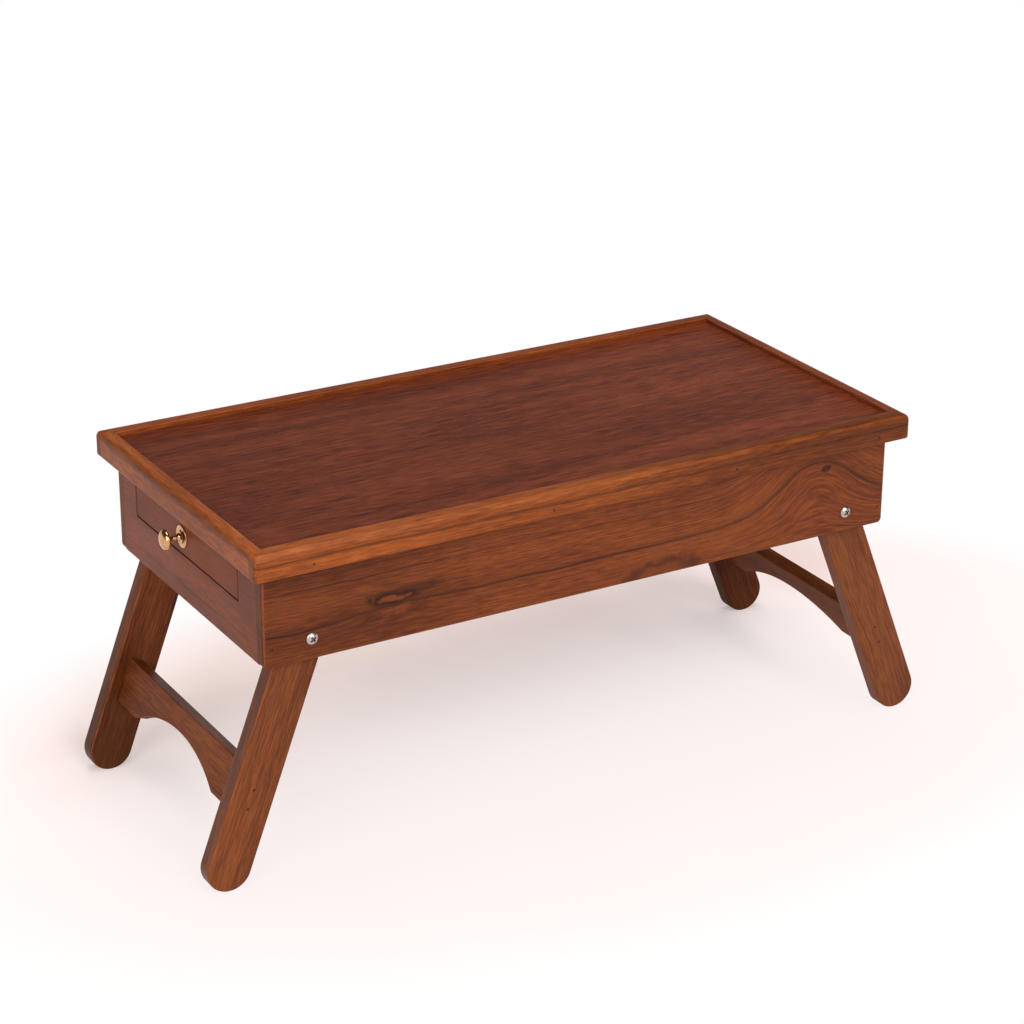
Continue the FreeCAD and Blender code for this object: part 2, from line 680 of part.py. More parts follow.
def stretcher(end, outward):
    """The board between two legs, arched below."""
    board = Piece(f"stretcher_{end}", x=f"{end}_pivot_x", z="pivot_z", tilt=f"{-outward} * {end}_splay")
    level = f"{outward} * {end}_stretcher_shift - stretcher_thickness / 2"
    low, arch = "-(stretcher_drop + stretcher_height)", "arch_width / 2"
    face = board.outline("YZ", level, [
        ("-leg_inner", "-stretcher_drop"), ("-leg_inner", low),
        (f"-{arch}", low, "arch_radius", 1), (arch, low),
        ("leg_inner", low), ("leg_inner", "-stretcher_drop")])
    board.pad(face, "YZ", "stretcher_thickness", 1)
    near = value(level)
    far = near + value("stretcher_thickness")

    def long_edge(edge):
        return any(lies_at(edge, x=x) for x in (near, far)) and not any(
            lies_at(edge, y=y * value("leg_inner")) for y in (-1, 1))
    board.round_edges("stretcher_edge_round", long_edge)
    for side in (-1, 1):
        board.drill("XZ", f"{side} * leg_inner",
                    [(f"{outward} * {end}_stretcher_shift", f"-({drop})") for drop in LEG_BRAD_DROPS],
                    "brad_hole", "leg_brad_length - leg_thickness", -side)


def pivot_screw():
    """A pan head machine screw with a cross recess, its head at -Y."""
    screw = Piece("pivot_screw_pattern", node=False)
    dome = "(screw_head_height - screw_head_edge)"
    profile = screw.outline("XY", "0", [
        ("0", "-screw_head_height", f"(screw_head_radius^2 + {dome}^2) / (2 * {dome})", -1),
        ("screw_head_radius", "-screw_head_edge"), ("screw_head_radius", "0"),
        ("pivot_screw_radius", "0"), ("pivot_screw_radius", "screw_length"), ("0", "screw_length")])
    screw.turn(profile, "V_Axis")
    arm, half = "recess_length / 2", "recess_width / 2"
    cross = [(f"-({half})", arm), (half, arm), (half, half), (arm, half), (arm, f"-({half})"),
             (half, f"-({half})"), (half, f"-({arm})"), (f"-({half})", f"-({arm})"),
             (f"-({half})", f"-({half})"), (f"-({arm})", f"-({half})"), (f"-({arm})", half),
             (f"-({half})", half)]
    screw.cut(screw.outline("XZ", "-screw_head_height", cross), "XZ", "recess_depth", 1)
    return screw


def pivot_washer():
    washer = Piece("pivot_washer_pattern", node=False)
    disc = washer.circles("XZ", "0", [("0", "0")], "washer_radius")
    washer.pad(disc, "XZ", "washer_thickness", 1)
    washer.drill("XZ", "0", [("0", "0")], "pivot_hole", "washer_thickness", 1)
    return washer


def pivot_nut():
    nut = Piece("pivot_nut_pattern", node=False)
    corners = [(f"nut_flats / sqrt(3) * cos({angle})", f"nut_flats / sqrt(3) * sin({angle})")
               for angle in range(0, 360, 60)]
    nut.pad(nut.outline("XZ", "0", corners), "XZ", "nut_thickness", 1)
    nut.drill("XZ", "0", [("0", "0")], "pivot_hole", "nut_thickness", 1)
    return nut


def at_pivots(level):
    """The four pivots: the back ones are turned round to face the other way."""
    return [(f"{end}_pivot_x", f"{side} * {level}", "pivot_z", 0 if side < 0 else 180)
            for end, _ in ENDS for _, side in SIDES]


def rim_brads():
    pins = []
    for name, side in SIDES:
        for number, x in enumerate(LONG_RAIL_BRADS, start=1):
            pins.append(brad(f"rim_brad_{name}_{number}", (x, f"{side} * tray_y", "rim_brad_z"),
                             (0, -side, 0), "rim_brad_length"))
    for name, side in ENDS:
        for number, across in enumerate((-1, 1), start=1):
            entry = (f"{side} * tray_x", f"{across} * end_rail_brad_y", "rim_brad_z")
            pins.append(brad(f"rim_brad_{name}_{number}", entry, (-side, 0, 0), "rim_brad_length"))
    group("rim_brads", pins)


def box_brads():
    pins = []
    for name, side in SIDES:
        for end, _ in ENDS:
            for number, z in enumerate(CORNER_BRAD_HEIGHTS, start=1):
                pins.append(brad(f"box_brad_{name}_{end}_{number}",
                                 (f"{end}_corner_brad_x", f"{side} * box_y", z),
                                 (0, -side, 0), "corner_brad_length"))
    group("box_brads", pins)


def drawer_brads():
    pins = []
    for name, side in SIDES:
        for number, (x, z) in enumerate([(x, z) for x in (FRONT_BRAD_X, BACK_BRAD_X)
                                         for z in DRAWER_BRAD_HEIGHTS], start=1):
            pins.append(brad(f"drawer_brad_{name}_{number}", (x, drawer_edge(side), z),
                             (0, -side, 0), "drawer_brad_length"))
        for number, x in enumerate(FLOOR_BRADS_X, start=1):
            entry = (x, drawer_edge(side, "drawer_side_thickness / 2"), "drawer_low")
            pins.append(brad(f"floor_brad_{name}_{number}", entry, (0, 0, 1), "floor_brad_length"))
    group("drawer_brads", pins)


def leg_brads(end, outward):
    """The nails from two legs into their stretcher, placed about the pivot as the legs are."""
    pins = []
    for name, side in SIDES:
        for number, drop in enumerate(LEG_BRAD_DROPS, start=1):
            entry = (f"{outward} * {end}_stretcher_shift", f"{side} * leg_outer", f"-({drop})")
            pins.append(brad(f"leg_brad_{end}_{name}_{number}", entry, (0, -side, 0), "leg_brad_length"))
    together = group(f"leg_brads_{end}", pins)
    together.Placement = FreeCAD.Placement(Vector(), FreeCAD.Rotation(Vector(0, 1, 0), 1))
    together.setExpression("Placement.Rotation.Angle", bound(f"{-outward} * {end}_splay"))
    place_by_rules(together, f"{end}_pivot_x", "0", "pivot_z")


tray_panel()
for name, side in SIDES:
    long_rail(name, side)
    side_panel(name, side)
    drawer_runner(name, side)
    drawer_side(name, side)
for end, outward in ENDS:
    end_rail(end, outward)
end_panel("left", -1, "left_end_thickness", "left_corner_brad_x", [
    ("-inner_y", "box_bottom"), ("inner_y", "box_bottom"), ("inner_y", "box_top"),
    ("opening_offset + opening_width / 2", "box_top"),
    ("opening_offset + opening_width / 2", "opening_low"),
    ("opening_offset - opening_width / 2", "opening_low"),
    ("opening_offset - opening_width / 2", "box_top"), ("-inner_y", "box_top")])
end_panel("right", 1, "right_end_thickness", "right_corner_brad_x",
          rectangle("-inner_y", "inner_y", "box_bottom", "box_top"))
centre_divider()
drawer_front()
drawer_back()
drawer_bottom()
knob_rose()
knob()
knob_screw()
for end, outward in ENDS:
    for name, side in SIDES:
        leg(end, outward, name, side)
    stretcher(end, outward)
    leg_brads(end, outward)
copies("pivot_screws", pivot_screw(), at_pivots("box_y"))
copies("pivot_washers", pivot_washer(), at_pivots("washer_face"))
copies("pivot_nuts", pivot_nut(), at_pivots("nut_face"))
rim_brads()
box_brads()
drawer_brads()

doc.recompute()
for thing in doc.Objects:
    if "Invalid" in thing.State or "Error" in thing.State:
        raise RuntimeError(f"{thing.Label} failed: {thing.State}")
for label, before, after in cuts:
    if after.Shape.Volume > before.Shape.Volume - TOLERANCE:
        raise RuntimeError(f"{label}: {after.Name} cuts nothing")
for node in nodes:
    if node.Shape.isNull() or not node.Shape.isValid():
        raise RuntimeError(f"{node.Label} has no valid shape")
for node in nodes:
    node.Shape.exportStep(f"parts/{node.Label}.step")
    box = node.Shape.BoundBox
    print(f"{node.Label:22s} {len(node.Shape.Solids)} solid(s) {node.Shape.Volume / 1000:9.2f} cm3  "
          f"x {box.XMin:7.1f} {box.XMax:7.1f}  y {box.YMin:7.1f} {box.YMax:7.1f}  "
          f"z {box.ZMin:6.1f} {box.ZMax:6.1f}")
print("splay", round(value("left_splay"), 2), round(value("right_splay"), 2))
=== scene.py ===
# %% [markdown]
# # A wooden lap desk
# The object is a small bed tray in reddish brown wood: a raised rim round a flat panel, a shallow box with a
# drawer in one end, and two splayed leg frames. The engineered model is loaded first and stays fixed. Every
# piece made below sits exactly where its solid is, so the lesson is only about finer surfaces and materials.

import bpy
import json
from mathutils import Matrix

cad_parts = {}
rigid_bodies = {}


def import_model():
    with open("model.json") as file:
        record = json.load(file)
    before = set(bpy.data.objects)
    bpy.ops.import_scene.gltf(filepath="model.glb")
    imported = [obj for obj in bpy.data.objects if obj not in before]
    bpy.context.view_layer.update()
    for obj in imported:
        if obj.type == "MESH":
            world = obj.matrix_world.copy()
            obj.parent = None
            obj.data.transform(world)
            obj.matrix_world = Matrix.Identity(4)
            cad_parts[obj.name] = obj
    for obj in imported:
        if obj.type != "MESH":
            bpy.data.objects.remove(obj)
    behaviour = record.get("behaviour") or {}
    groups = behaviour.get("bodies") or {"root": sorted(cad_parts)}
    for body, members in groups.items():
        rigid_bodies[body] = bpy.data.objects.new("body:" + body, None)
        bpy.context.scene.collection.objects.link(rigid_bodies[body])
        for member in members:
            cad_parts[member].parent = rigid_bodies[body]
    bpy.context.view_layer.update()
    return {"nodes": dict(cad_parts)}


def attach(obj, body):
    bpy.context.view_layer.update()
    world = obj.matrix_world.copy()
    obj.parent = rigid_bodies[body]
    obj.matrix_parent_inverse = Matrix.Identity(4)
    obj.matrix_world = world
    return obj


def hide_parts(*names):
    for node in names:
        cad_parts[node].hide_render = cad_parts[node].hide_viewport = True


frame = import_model()
nodes = frame["nodes"]
print("pieces in the frame:", len(nodes))

# %% Tools and units
import json
import math

import bmesh
import bpy
import numpy as np
from mathutils import Euler, Matrix, Vector

MM = 0.001
RIM_TOP, RIM_BOTTOM = 292, 270
TRAY_X, TRAY_Y = 305, 152.5
BOX_X, BOX_Y = 293, 137.5
BOX_TOP, BOX_BOTTOM = 282, 190
INNER_Y = 126.5
PIVOT_Z = 208
LEG_INNER, LEG_OUTER = 110, 126
SIDES = {"front": -1, "back": 1}
# For each end: which way it faces, its pivot's x, its splay in degrees, its length from the pivot to the
# foot's centre, and how far its stretcher and nails stand outwards of the middle of the legs
ENDS = {
    "left": {"way": -1, "pivot": -251.7, "splay": 20.4293, "reach": 202.1121, "shift": 1.5},
    "right": {"way": 1, "pivot": 253.1, "splay": 21.6308, "reach": 203.7483, "shift": -1},
}

# %% [markdown]
# ## Boards
# A sanded board is a flat shape with some thickness whose edges are eased, more so where hands touch them.
# A Bevel modifier rounds all edges alike, so the boards are computed instead: rings of points climb from the
# middle of the back face, round the back edge, up the side, round the front edge and in to the front face.
# A ring close to each rounded edge keeps the flats truly flat under smooth shading.


# %% One ring of a board
HARDLY_TURNS = 0.97
SHORT_FLAT = 6


def ring(corners, radii, rounds, insets, drops, steps, margin):
    """The outline moved inwards by insets[i] on side i, as (x, y, drop) rows.

    A corner between two sides is where the moved sides meet, or straight inwards where the cosine of their
    turn is above HARDLY_TURNS. A corner of radius r becomes an arc of radius r minus the inset about a centre
    that lies r, or the inset if that is more, inside both sides. Beside a sharp corner, a side keeps its own
    point just past the neighbour's rounding, the same in every ring. A side whose straight part is shorter
    than SHORT_FLAT margins keeps none.
    """
    count = len(corners)
    ahead = np.roll(corners, -1, axis=0) - corners
    lengths = np.linalg.norm(ahead, axis=1)
    along = ahead / lengths[:, None]
    outward = np.stack([along[:, 1], -along[:, 0]], axis=1)
    rows = []
    for i in range(count):
        before, after = outward[i - 1], outward[i]
        first, second = insets[i - 1], insets[i]
        radius = radii[i]
        depth = np.array([max(radius, first), max(radius, second)])
        if abs(before @ after) > HARDLY_TURNS:
            centre = corners[i] - (before + after) * depth.mean() / (1 + before @ after)
        else:
            centre = corners[i] - np.linalg.solve(np.stack([before, after]), depth)
        if radius == 0:
            drop = max(drops[i - 1], drops[i])
            arc = np.array([[*centre, drop]])
        else:
            turn = np.linspace(0, 1, steps + 1)[:, None]
            angle = math.atan2(before[0] * after[1] - before[1] * after[0], before @ after)
            start = math.atan2(before[1], before[0])
            spread = np.hstack([np.cos(start + angle * turn), np.sin(start + angle * turn)])
            reach = np.maximum(radius - (first + (second - first) * turn), 0)
            drop = drops[i - 1] + (drops[i] - drops[i - 1]) * turn
            arc = np.hstack([centre + spread * reach, drop])
        rows.append(arc)
    points = []
    for i, arc in enumerate(rows):
        points.append(arc)
        after = (i + 1) % count
        ends = []
        for corner, end_arc, neighbour, way in ((i, arc[-1], i - 1, 1), (after, rows[after][0], after, -1)):
            if radii[corner] == 0 and rounds[neighbour] > rounds[i]:
                beyond = way * along[i] * (rounds[neighbour] + margin)
                beside = corners[corner] - outward[i] * insets[i] + beyond
            else:
                beside = end_arc[:2] + way * along[i] * margin
            ends.append([*beside, drops[i]])
        if lengths[i] - radii[i] - radii[after] > SHORT_FLAT * margin:
            points.append(np.array(ends))
    return np.vstack(points)


# %% A whole board
TURNS = np.linspace(0, math.pi / 2, 7)


def board_points(corners, thickness, radii=0, front=0, back=0, steps=6, margin=0.4):
    """Rings of a board in its own frame: x and y on its face, z from 0 at the back to its thickness.

    An edge of radius R is a quarter circle: at angle a, one of TURNS, the ring has come in by R (1 - cos a)
    and stands R (1 - sin a) below the face.
    """
    corners = np.array(corners, float)
    count = len(corners)
    radii, front, back = (np.broadcast_to(np.array(v, float), count) for v in (radii, front, back))
    rings = []

    def add(rounds, inset, drop, at_front):
        points = ring(corners, radii, rounds, inset, drop, steps, margin)
        points[:, 2] = thickness - points[:, 2] if at_front else points[:, 2]
        rings.append(points)

    nothing = np.zeros(count)
    add(back, back + margin, nothing, False)
    for angle in TURNS[::-1]:
        add(back, back * (1 - math.cos(angle)), back * (1 - math.sin(angle)), False)
    add(back, nothing, back + margin, False)
    add(front, nothing, front + margin, True)
    for angle in TURNS:
        add(front, front * (1 - math.cos(angle)), front * (1 - math.sin(angle)), True)
    add(front, front + margin, nothing, True)
    return np.array(rings)


def grid_faces(rings, around):
    """Quads between neighbouring rings of a closed grid, wound so that they face outwards."""
    low = np.arange(rings - 1)[:, None] * around
    here = np.arange(around)[None, :]
    beside = (here + 1) % around
    quads = np.stack([low + here, low + beside, low + around + beside, low + around + here], axis=-1)
    return quads.reshape(-1, 4).tolist()


def closed_faces(rings, around):
    """The same quads with a cap on the first ring and one on the last."""
    first, last = range(around), range((rings - 1) * around, rings * around)
    return [*grid_faces(rings, around), list(first)[::-1], list(last)]


# %% Put a surface into the scene
MERGE = 0.5e-5
FULLY_EASED = 0.25
made = []


def make_piece(name, points, faces, body, material_slot, stands_for, sharp=32, marks=None):
    """A finished piece: doubled points merged, faces outwards, smooth except across sharp edges."""
    mesh = bpy.data.meshes.new(name)
    mesh.from_pydata((np.asarray(points) * MM).tolist(), [], faces)
    if marks is not None:
        mesh.attributes.new("mark", "FLOAT", "POINT").data.foreach_set("value", marks)
    edit = bmesh.new()
    edit.from_mesh(mesh)
    bmesh.ops.remove_doubles(edit, verts=edit.verts, dist=MERGE)
    bmesh.ops.dissolve_degenerate(edit, edges=edit.edges, dist=MERGE)
    bmesh.ops.recalc_face_normals(edit, faces=edit.faces)
    edit.to_mesh(mesh)
    edit.free()
    mesh.polygons.foreach_set("use_smooth", np.ones(len(mesh.polygons), bool))
    mesh.set_sharp_from_angle(angle=math.radians(sharp))
    piece = bpy.data.objects.new(name, mesh)
    bpy.context.scene.collection.objects.link(piece)
    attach(piece, body)
    if stands_for:
        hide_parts(*stands_for)
    made.append(piece)
    return piece


def make_board(name, corners, thickness, origin, axes, body, material_slot, stands_for, floor=None, **edges):
    """A board whose own x, y and z run along the three axes from the origin, in millimetres.

    Its edges are marked for thinned lacquer and a painted highlight: at angle a of a rounding the mark is the
    square of sin 2a. A rounding smaller than FULLY_EASED is marked less, and a sharp edge, as at a joint, not
    at all.
    """
    rings = board_points(corners, thickness, **edges)
    places = rings.reshape(-1, 3) @ np.array(axes, float) + np.array(origin, float)
    if floor is not None:
        places[:, 2] = np.maximum(places[:, 2], floor)
    count, around = rings.shape[:2]
    half = count // 2
    sides = np.repeat([rings[half - 1], rings[half]], half, axis=0)
    eased = np.linalg.norm((rings - sides)[..., :2], axis=2)
    # The mark is strongest half way round a rounding, for the thinned lacquer and the painted highlight there
    swell = np.sin(2 * TURNS) ** 2
    wear_and_highlight_mark = np.concatenate([[0], swell[::-1], [0, 0], swell, [0]])[:, None]
    wear_and_highlight_mark = wear_and_highlight_mark * np.clip(eased / FULLY_EASED, 0, 1)
    return make_piece(name, places, closed_faces(count, around), body, material_slot, stands_for,
                      marks=wear_and_highlight_mark.ravel())


FACING_FRONT = [(1, 0, 0), (0, 0, 1), (0, -1, 0)]
FACING_BACK = [(-1, 0, 0), (0, 0, 1), (0, 1, 0)]
FACING_LEFT = [(0, -1, 0), (0, 0, 1), (-1, 0, 0)]
FACING_RIGHT = [(0, 1, 0), (0, 0, 1), (1, 0, 0)]
FACING_UP = [(1, 0, 0), (0, 1, 0), (0, 0, 1)]
FACING_UP_TURNED = [(-1, 0, 0), (0, -1, 0), (0, 0, 1)]

# %% [markdown]
# ## The rim
# The long rails run past the ends and are cut back inside to house the short rails, so a strip of end grain
# shows at each corner. The outer top edge is well rounded, the inner one barely. Each side of a rail's
# outline has its own edge radius, and a vertical corner keeps a small radius of its own.

# %% Rim rails
ROUND, EASED, SOFT, CORNER = 5.5, 0.8, 2.5, 3.5
HOUSING = 4
HOUSED_Y = BOX_Y + HOUSING
for name, way in SIDES.items():
    outline = [(-TRAY_X, -TRAY_Y), (TRAY_X, -TRAY_Y), (TRAY_X, -HOUSED_Y), (BOX_X, -HOUSED_Y),
               (BOX_X, -BOX_Y), (-BOX_X, -BOX_Y), (-BOX_X, -HOUSED_Y), (-TRAY_X, -HOUSED_Y)]
    axes = FACING_UP if way < 0 else FACING_UP_TURNED
    make_board(f"{name}_rail", outline, RIM_TOP - RIM_BOTTOM, (0, 0, RIM_BOTTOM), axes, "case", "rim_wood",
               [f"rim_rail_{name}"], radii=[CORNER, CORNER, 0, 0, 0, 0, 0, 0],
               front=[ROUND, ROUND, 0, 0, EASED, 0, 0, ROUND], back=[SOFT, SOFT, 0, 0, 0, 0, 0, SOFT])
for name, end in ENDS.items():
    outline = [(-HOUSED_Y, -TRAY_X), (HOUSED_Y, -TRAY_X), (HOUSED_Y, -BOX_X), (-HOUSED_Y, -BOX_X)]
    axes = [(0, end["way"], 0), (-end["way"], 0, 0), (0, 0, 1)]
    make_board(f"{name}_rail", outline, RIM_TOP - RIM_BOTTOM, (0, 0, RIM_BOTTOM), axes, "case", "rim_wood",
               [f"rim_rail_{name}"], front=[ROUND, 0, EASED, 0], back=[SOFT, 0, 0, 0])
print("rim rails made:", len(made))

# %% [markdown]
# ## The box
# Two long boards lap the end boards. The box was sanded as a whole, so the rounding of its lower edge runs on
# from board to board. The left end board has a notch for the drawer. On the real desk its outline is a crisp
# dark line, so the notch's edges are only just broken.

# %% Box boards
EDGE, BACK_EDGE, LOWER_CORNER = 3, 0.3, 4.5
for name, way in SIDES.items():
    outline = [(-BOX_X, BOX_BOTTOM), (BOX_X, BOX_BOTTOM), (BOX_X, BOX_TOP), (-BOX_X, BOX_TOP)]
    axes = FACING_FRONT if way < 0 else FACING_BACK
    make_board(f"{name}_board", outline, BOX_Y - INNER_Y, (0, way * INNER_Y, 0), axes, "case", "box_wood",
               [f"side_panel_{name}"], radii=[LOWER_CORNER, LOWER_CORNER, 0, 0],
               front=[EDGE, EDGE, 0, EDGE], back=BACK_EDGE)

SILL = 231
OPENING = (-95, 100)
LEFT_END, RIGHT_END = 14, 12
CRISP = 0.35
notched = [(-INNER_Y, BOX_BOTTOM), (INNER_Y, BOX_BOTTOM), (INNER_Y, BOX_TOP), (-OPENING[0], BOX_TOP),
           (-OPENING[0], SILL), (-OPENING[1], SILL), (-OPENING[1], BOX_TOP), (-INNER_Y, BOX_TOP)]
make_board("left_end_board", notched, LEFT_END, (-BOX_X + LEFT_END, 0, 0), FACING_LEFT, "case", "box_wood",
           ["end_panel_left"], front=[EDGE, 0, 0, CRISP, CRISP, CRISP, 0, 0])
plain = [(-INNER_Y, BOX_BOTTOM), (INNER_Y, BOX_BOTTOM), (INNER_Y, BOX_TOP), (-INNER_Y, BOX_TOP)]
make_board("right_end_board", plain, RIGHT_END, (BOX_X - RIGHT_END, 0, 0), FACING_RIGHT, "case", "box_wood",
           ["end_panel_right"], front=[EDGE, 0, 0, 0])
print("box boards are", BOX_Y - INNER_Y, LEFT_END, "and", RIGHT_END, "mm thick")

# %% [markdown]
# ## The drawer's face
# The drawer front is one plain board, rebated behind for the sides and the bottom. Its face is a board with
# broken edges here, and the tongue that the rebates leave behind it is a second, smaller board.

# %% Drawer front
DRAWER_LOW, DRAWER_HIGH = 232.4, 269.5
DRAWER_Y = (-93.6, 98.6)
FACE, LIP, SIDE_WALL, FLOOR_PLY, FACE_EDGE = 12, 6, 8, 4, 0.6
left, right = -DRAWER_Y[1], -DRAWER_Y[0]
face = [(left, DRAWER_LOW), (right, DRAWER_LOW), (right, DRAWER_HIGH), (left, DRAWER_HIGH)]
tongue = [(left + SIDE_WALL, DRAWER_LOW + FLOOR_PLY), (right - SIDE_WALL, DRAWER_LOW + FLOOR_PLY),
          (right - SIDE_WALL, DRAWER_HIGH), (left + SIDE_WALL, DRAWER_HIGH)]
make_board("drawer_face", face, LIP, (-BOX_X + LIP, 0, 0), FACING_LEFT, "drawer", "drawer_face_wood",
           ["drawer_front"], front=FACE_EDGE)
make_board("drawer_tongue", tongue, FACE - LIP, (-BOX_X + FACE, 0, 0), FACING_LEFT, "drawer",
           "drawer_face_wood", [])
print("drawer face:", round(right - left, 1), "by", round(DRAWER_HIGH - DRAWER_LOW, 1), "mm")

# %% [markdown]
# ## Legs and stretchers
# A leg is a strip with full round ends: its outline is a rectangle whose corner radii are half its width, so
# the two arcs at each end meet in a half circle. It is drawn about its pivot and leans by its splay. The foot
# is flattened a little where it stands. A stretcher is a board whose lower edge rises in a shallow arc.

# %% Legs
LEG_HALF, LEG_EDGE, LEG_STEPS = 19, 2, 20
for end_name, end in ENDS.items():
    lean = math.radians(end["splay"])
    end["down"] = np.array([end["way"] * math.sin(lean), 0, -math.cos(lean)])
    end["across"] = np.array([end["way"] * math.cos(lean), 0, math.sin(lean)])
    end["top"] = np.array([end["pivot"], 0, PIVOT_Z])
    for name, way in SIDES.items():
        outward = np.array([0, way, 0])
        handed = np.sign(np.linalg.det([end["across"], -end["down"], outward]))
        strip = [(-LEG_HALF, -end["reach"] - LEG_HALF), (LEG_HALF, -end["reach"] - LEG_HALF),
                 (LEG_HALF, LEG_HALF), (-LEG_HALF, LEG_HALF)]
        make_board(f"{end_name}_{name}_leg", strip, LEG_OUTER - LEG_INNER, end["top"] + outward * LEG_INNER,
                   [end["across"] * handed, -end["down"], outward], f"{end_name}_legs", "leg_wood",
                   [f"leg_{name}_{end_name}"], radii=LEG_HALF, front=LEG_EDGE, back=LEG_EDGE,
                   steps=LEG_STEPS, floor=0)

# %% Stretchers
DROP, DEEP, THICK = 119.5, 39, 12.4
CROSS_EDGE, CROSS_MARGIN = 1, 0.3
ARCH_HALF, ARCH_RISE = 75, 20
arch_radius = (ARCH_HALF ** 2 + ARCH_RISE ** 2) / (2 * ARCH_RISE)
arch_y = np.linspace(-ARCH_HALF, ARCH_HALF, 41)
arch_z = np.sqrt(arch_radius ** 2 - arch_y ** 2) - (arch_radius - ARCH_RISE)
for end_name, end in ENDS.items():
    low = -(DROP + DEEP)
    outline = [(-LEG_INNER, low), *zip(arch_y, low + arch_z), (LEG_INNER, low), (LEG_INNER, -DROP),
               (-LEG_INNER, -DROP)]
    outward = end["across"]
    sideways = np.array([0, end["way"], 0])
    # The two ends, which meet the legs, stay sharp
    eased = [CROSS_EDGE] * (len(outline) - 3) + [0, CROSS_EDGE, 0]
    make_board(f"{end_name}_cross_rail", outline, THICK, end["top"] + outward * (end["shift"] - THICK / 2),
               [sideways, -end["down"], outward], f"{end_name}_legs", "leg_wood", [f"stretcher_{end_name}"],
               front=eased, back=eased, margin=CROSS_MARGIN)
print("boards made so far:", len(made))

# %% [markdown]
# ## The knob
# A turned knob is a profile spun about its axis: every point of the profile goes round a circle, which is a
# grid of profile points by angles. The curves of the boss, the neck and the domed head are quarter ellipses.
# Polish doesn't reach the crease at the plate or the one behind the head, so the knob is marked there for
# tarnish and painted shade.


# %% Turned pieces
AROUND = 72


def turned(profile, axis_point):
    """A profile of (distance outwards from the face, radius) rows, spun about an axis along -X."""
    profile = np.array(profile, float)
    angle = np.linspace(0, 2 * math.pi, AROUND, endpoint=False)
    out = np.broadcast_to(profile[:, :1], (len(profile), AROUND))
    y = profile[:, 1:] * np.cos(angle)
    z = profile[:, 1:] * np.sin(angle)
    points = np.stack([axis_point[0] - out, axis_point[1] + y, axis_point[2] + z], axis=-1)
    return points.reshape(-1, 3), grid_faces(len(profile), AROUND)


def curve(start, end, bulge, count):
    """A quarter ellipse from start to end, which leaves start along the axis (bulge 1) or the radius (-1).

    At angle t one coordinate has gone sin t of its way, and the other one 1 - cos t.
    """
    turn = np.linspace(0, math.pi / 2, count)
    first, second = (np.sin(turn), 1 - np.cos(turn)) if bulge > 0 else (1 - np.cos(turn), np.sin(turn))
    return [(start[0] + (end[0] - start[0]) * a, start[1] + (end[1] - start[1]) * b)
            for a, b in zip(first, second)]


# %% Plate and knob
KNOB_AXIS = (-BOX_X, 8.5, 247.2)
BRASS_SHARP = 50
rose = [(0, 3.25), (0, 9.5), (0.5, 9.5), *curve((0.5, 9.5), (1.0, 8.9), 1, 5), (1.15, 8.0), (1.2, 7.7),
        (1.7, 7.2), (1.7, 6.8), (1.35, 6.5), (1.3, 5.6), (1.3, 3.25), (0, 3.25)]
make_piece("rose_plate", *turned(rose, KNOB_AXIS), "drawer", "polished_brass", ["knob_rose"],
           sharp=BRASS_SHARP)
bore_and_foot = [(4.5, 0), (4.5, 1.8), (0, 1.8), (0, 3.2), (1.35, 3.2), (1.35, 5.4)]
boss_and_neck = [(2.2, 5.4), *curve((2.2, 5.4), (6.4, 2.1), -1, 12), (6.9, 1.7), (10.3, 1.7),
                 *curve((10.3, 1.7), (13.5, 4.5), 1, 12)]
head = [(13.5, 8.2), *curve((13.5, 8.2), (13.8, 8.7), -1, 5), *curve((14.1, 8.7), (19.1, 0), 1, 24)]
handle = bore_and_foot + boss_and_neck + head
# Where each crease is along the axis, and how wide the tarnish and painted shade in it are
CREASES = ((1.6, 0.5), (13.3, 0.35))
tarnish_and_shade = [sum(math.exp(-((out - place) / width) ** 2) for place, width in CREASES) for out, _ in handle]
make_piece("turned_knob", *turned(handle, KNOB_AXIS), "drawer", "polished_brass", ["knob"],
           sharp=BRASS_SHARP, marks=np.repeat(tarnish_and_shade, AROUND))
print("knob stands out", handle[-1][0], "mm and is", 2 * max(radius for _, radius in handle), "mm across")

# %% [markdown]
# ## Pivot screws
# The screw heads are domed discs with a cross recess. The head is a height over a disc: a shallow dome, less
# a cross whose arms have soft walls. Working the height out on a polar grid gives the recess real depth.


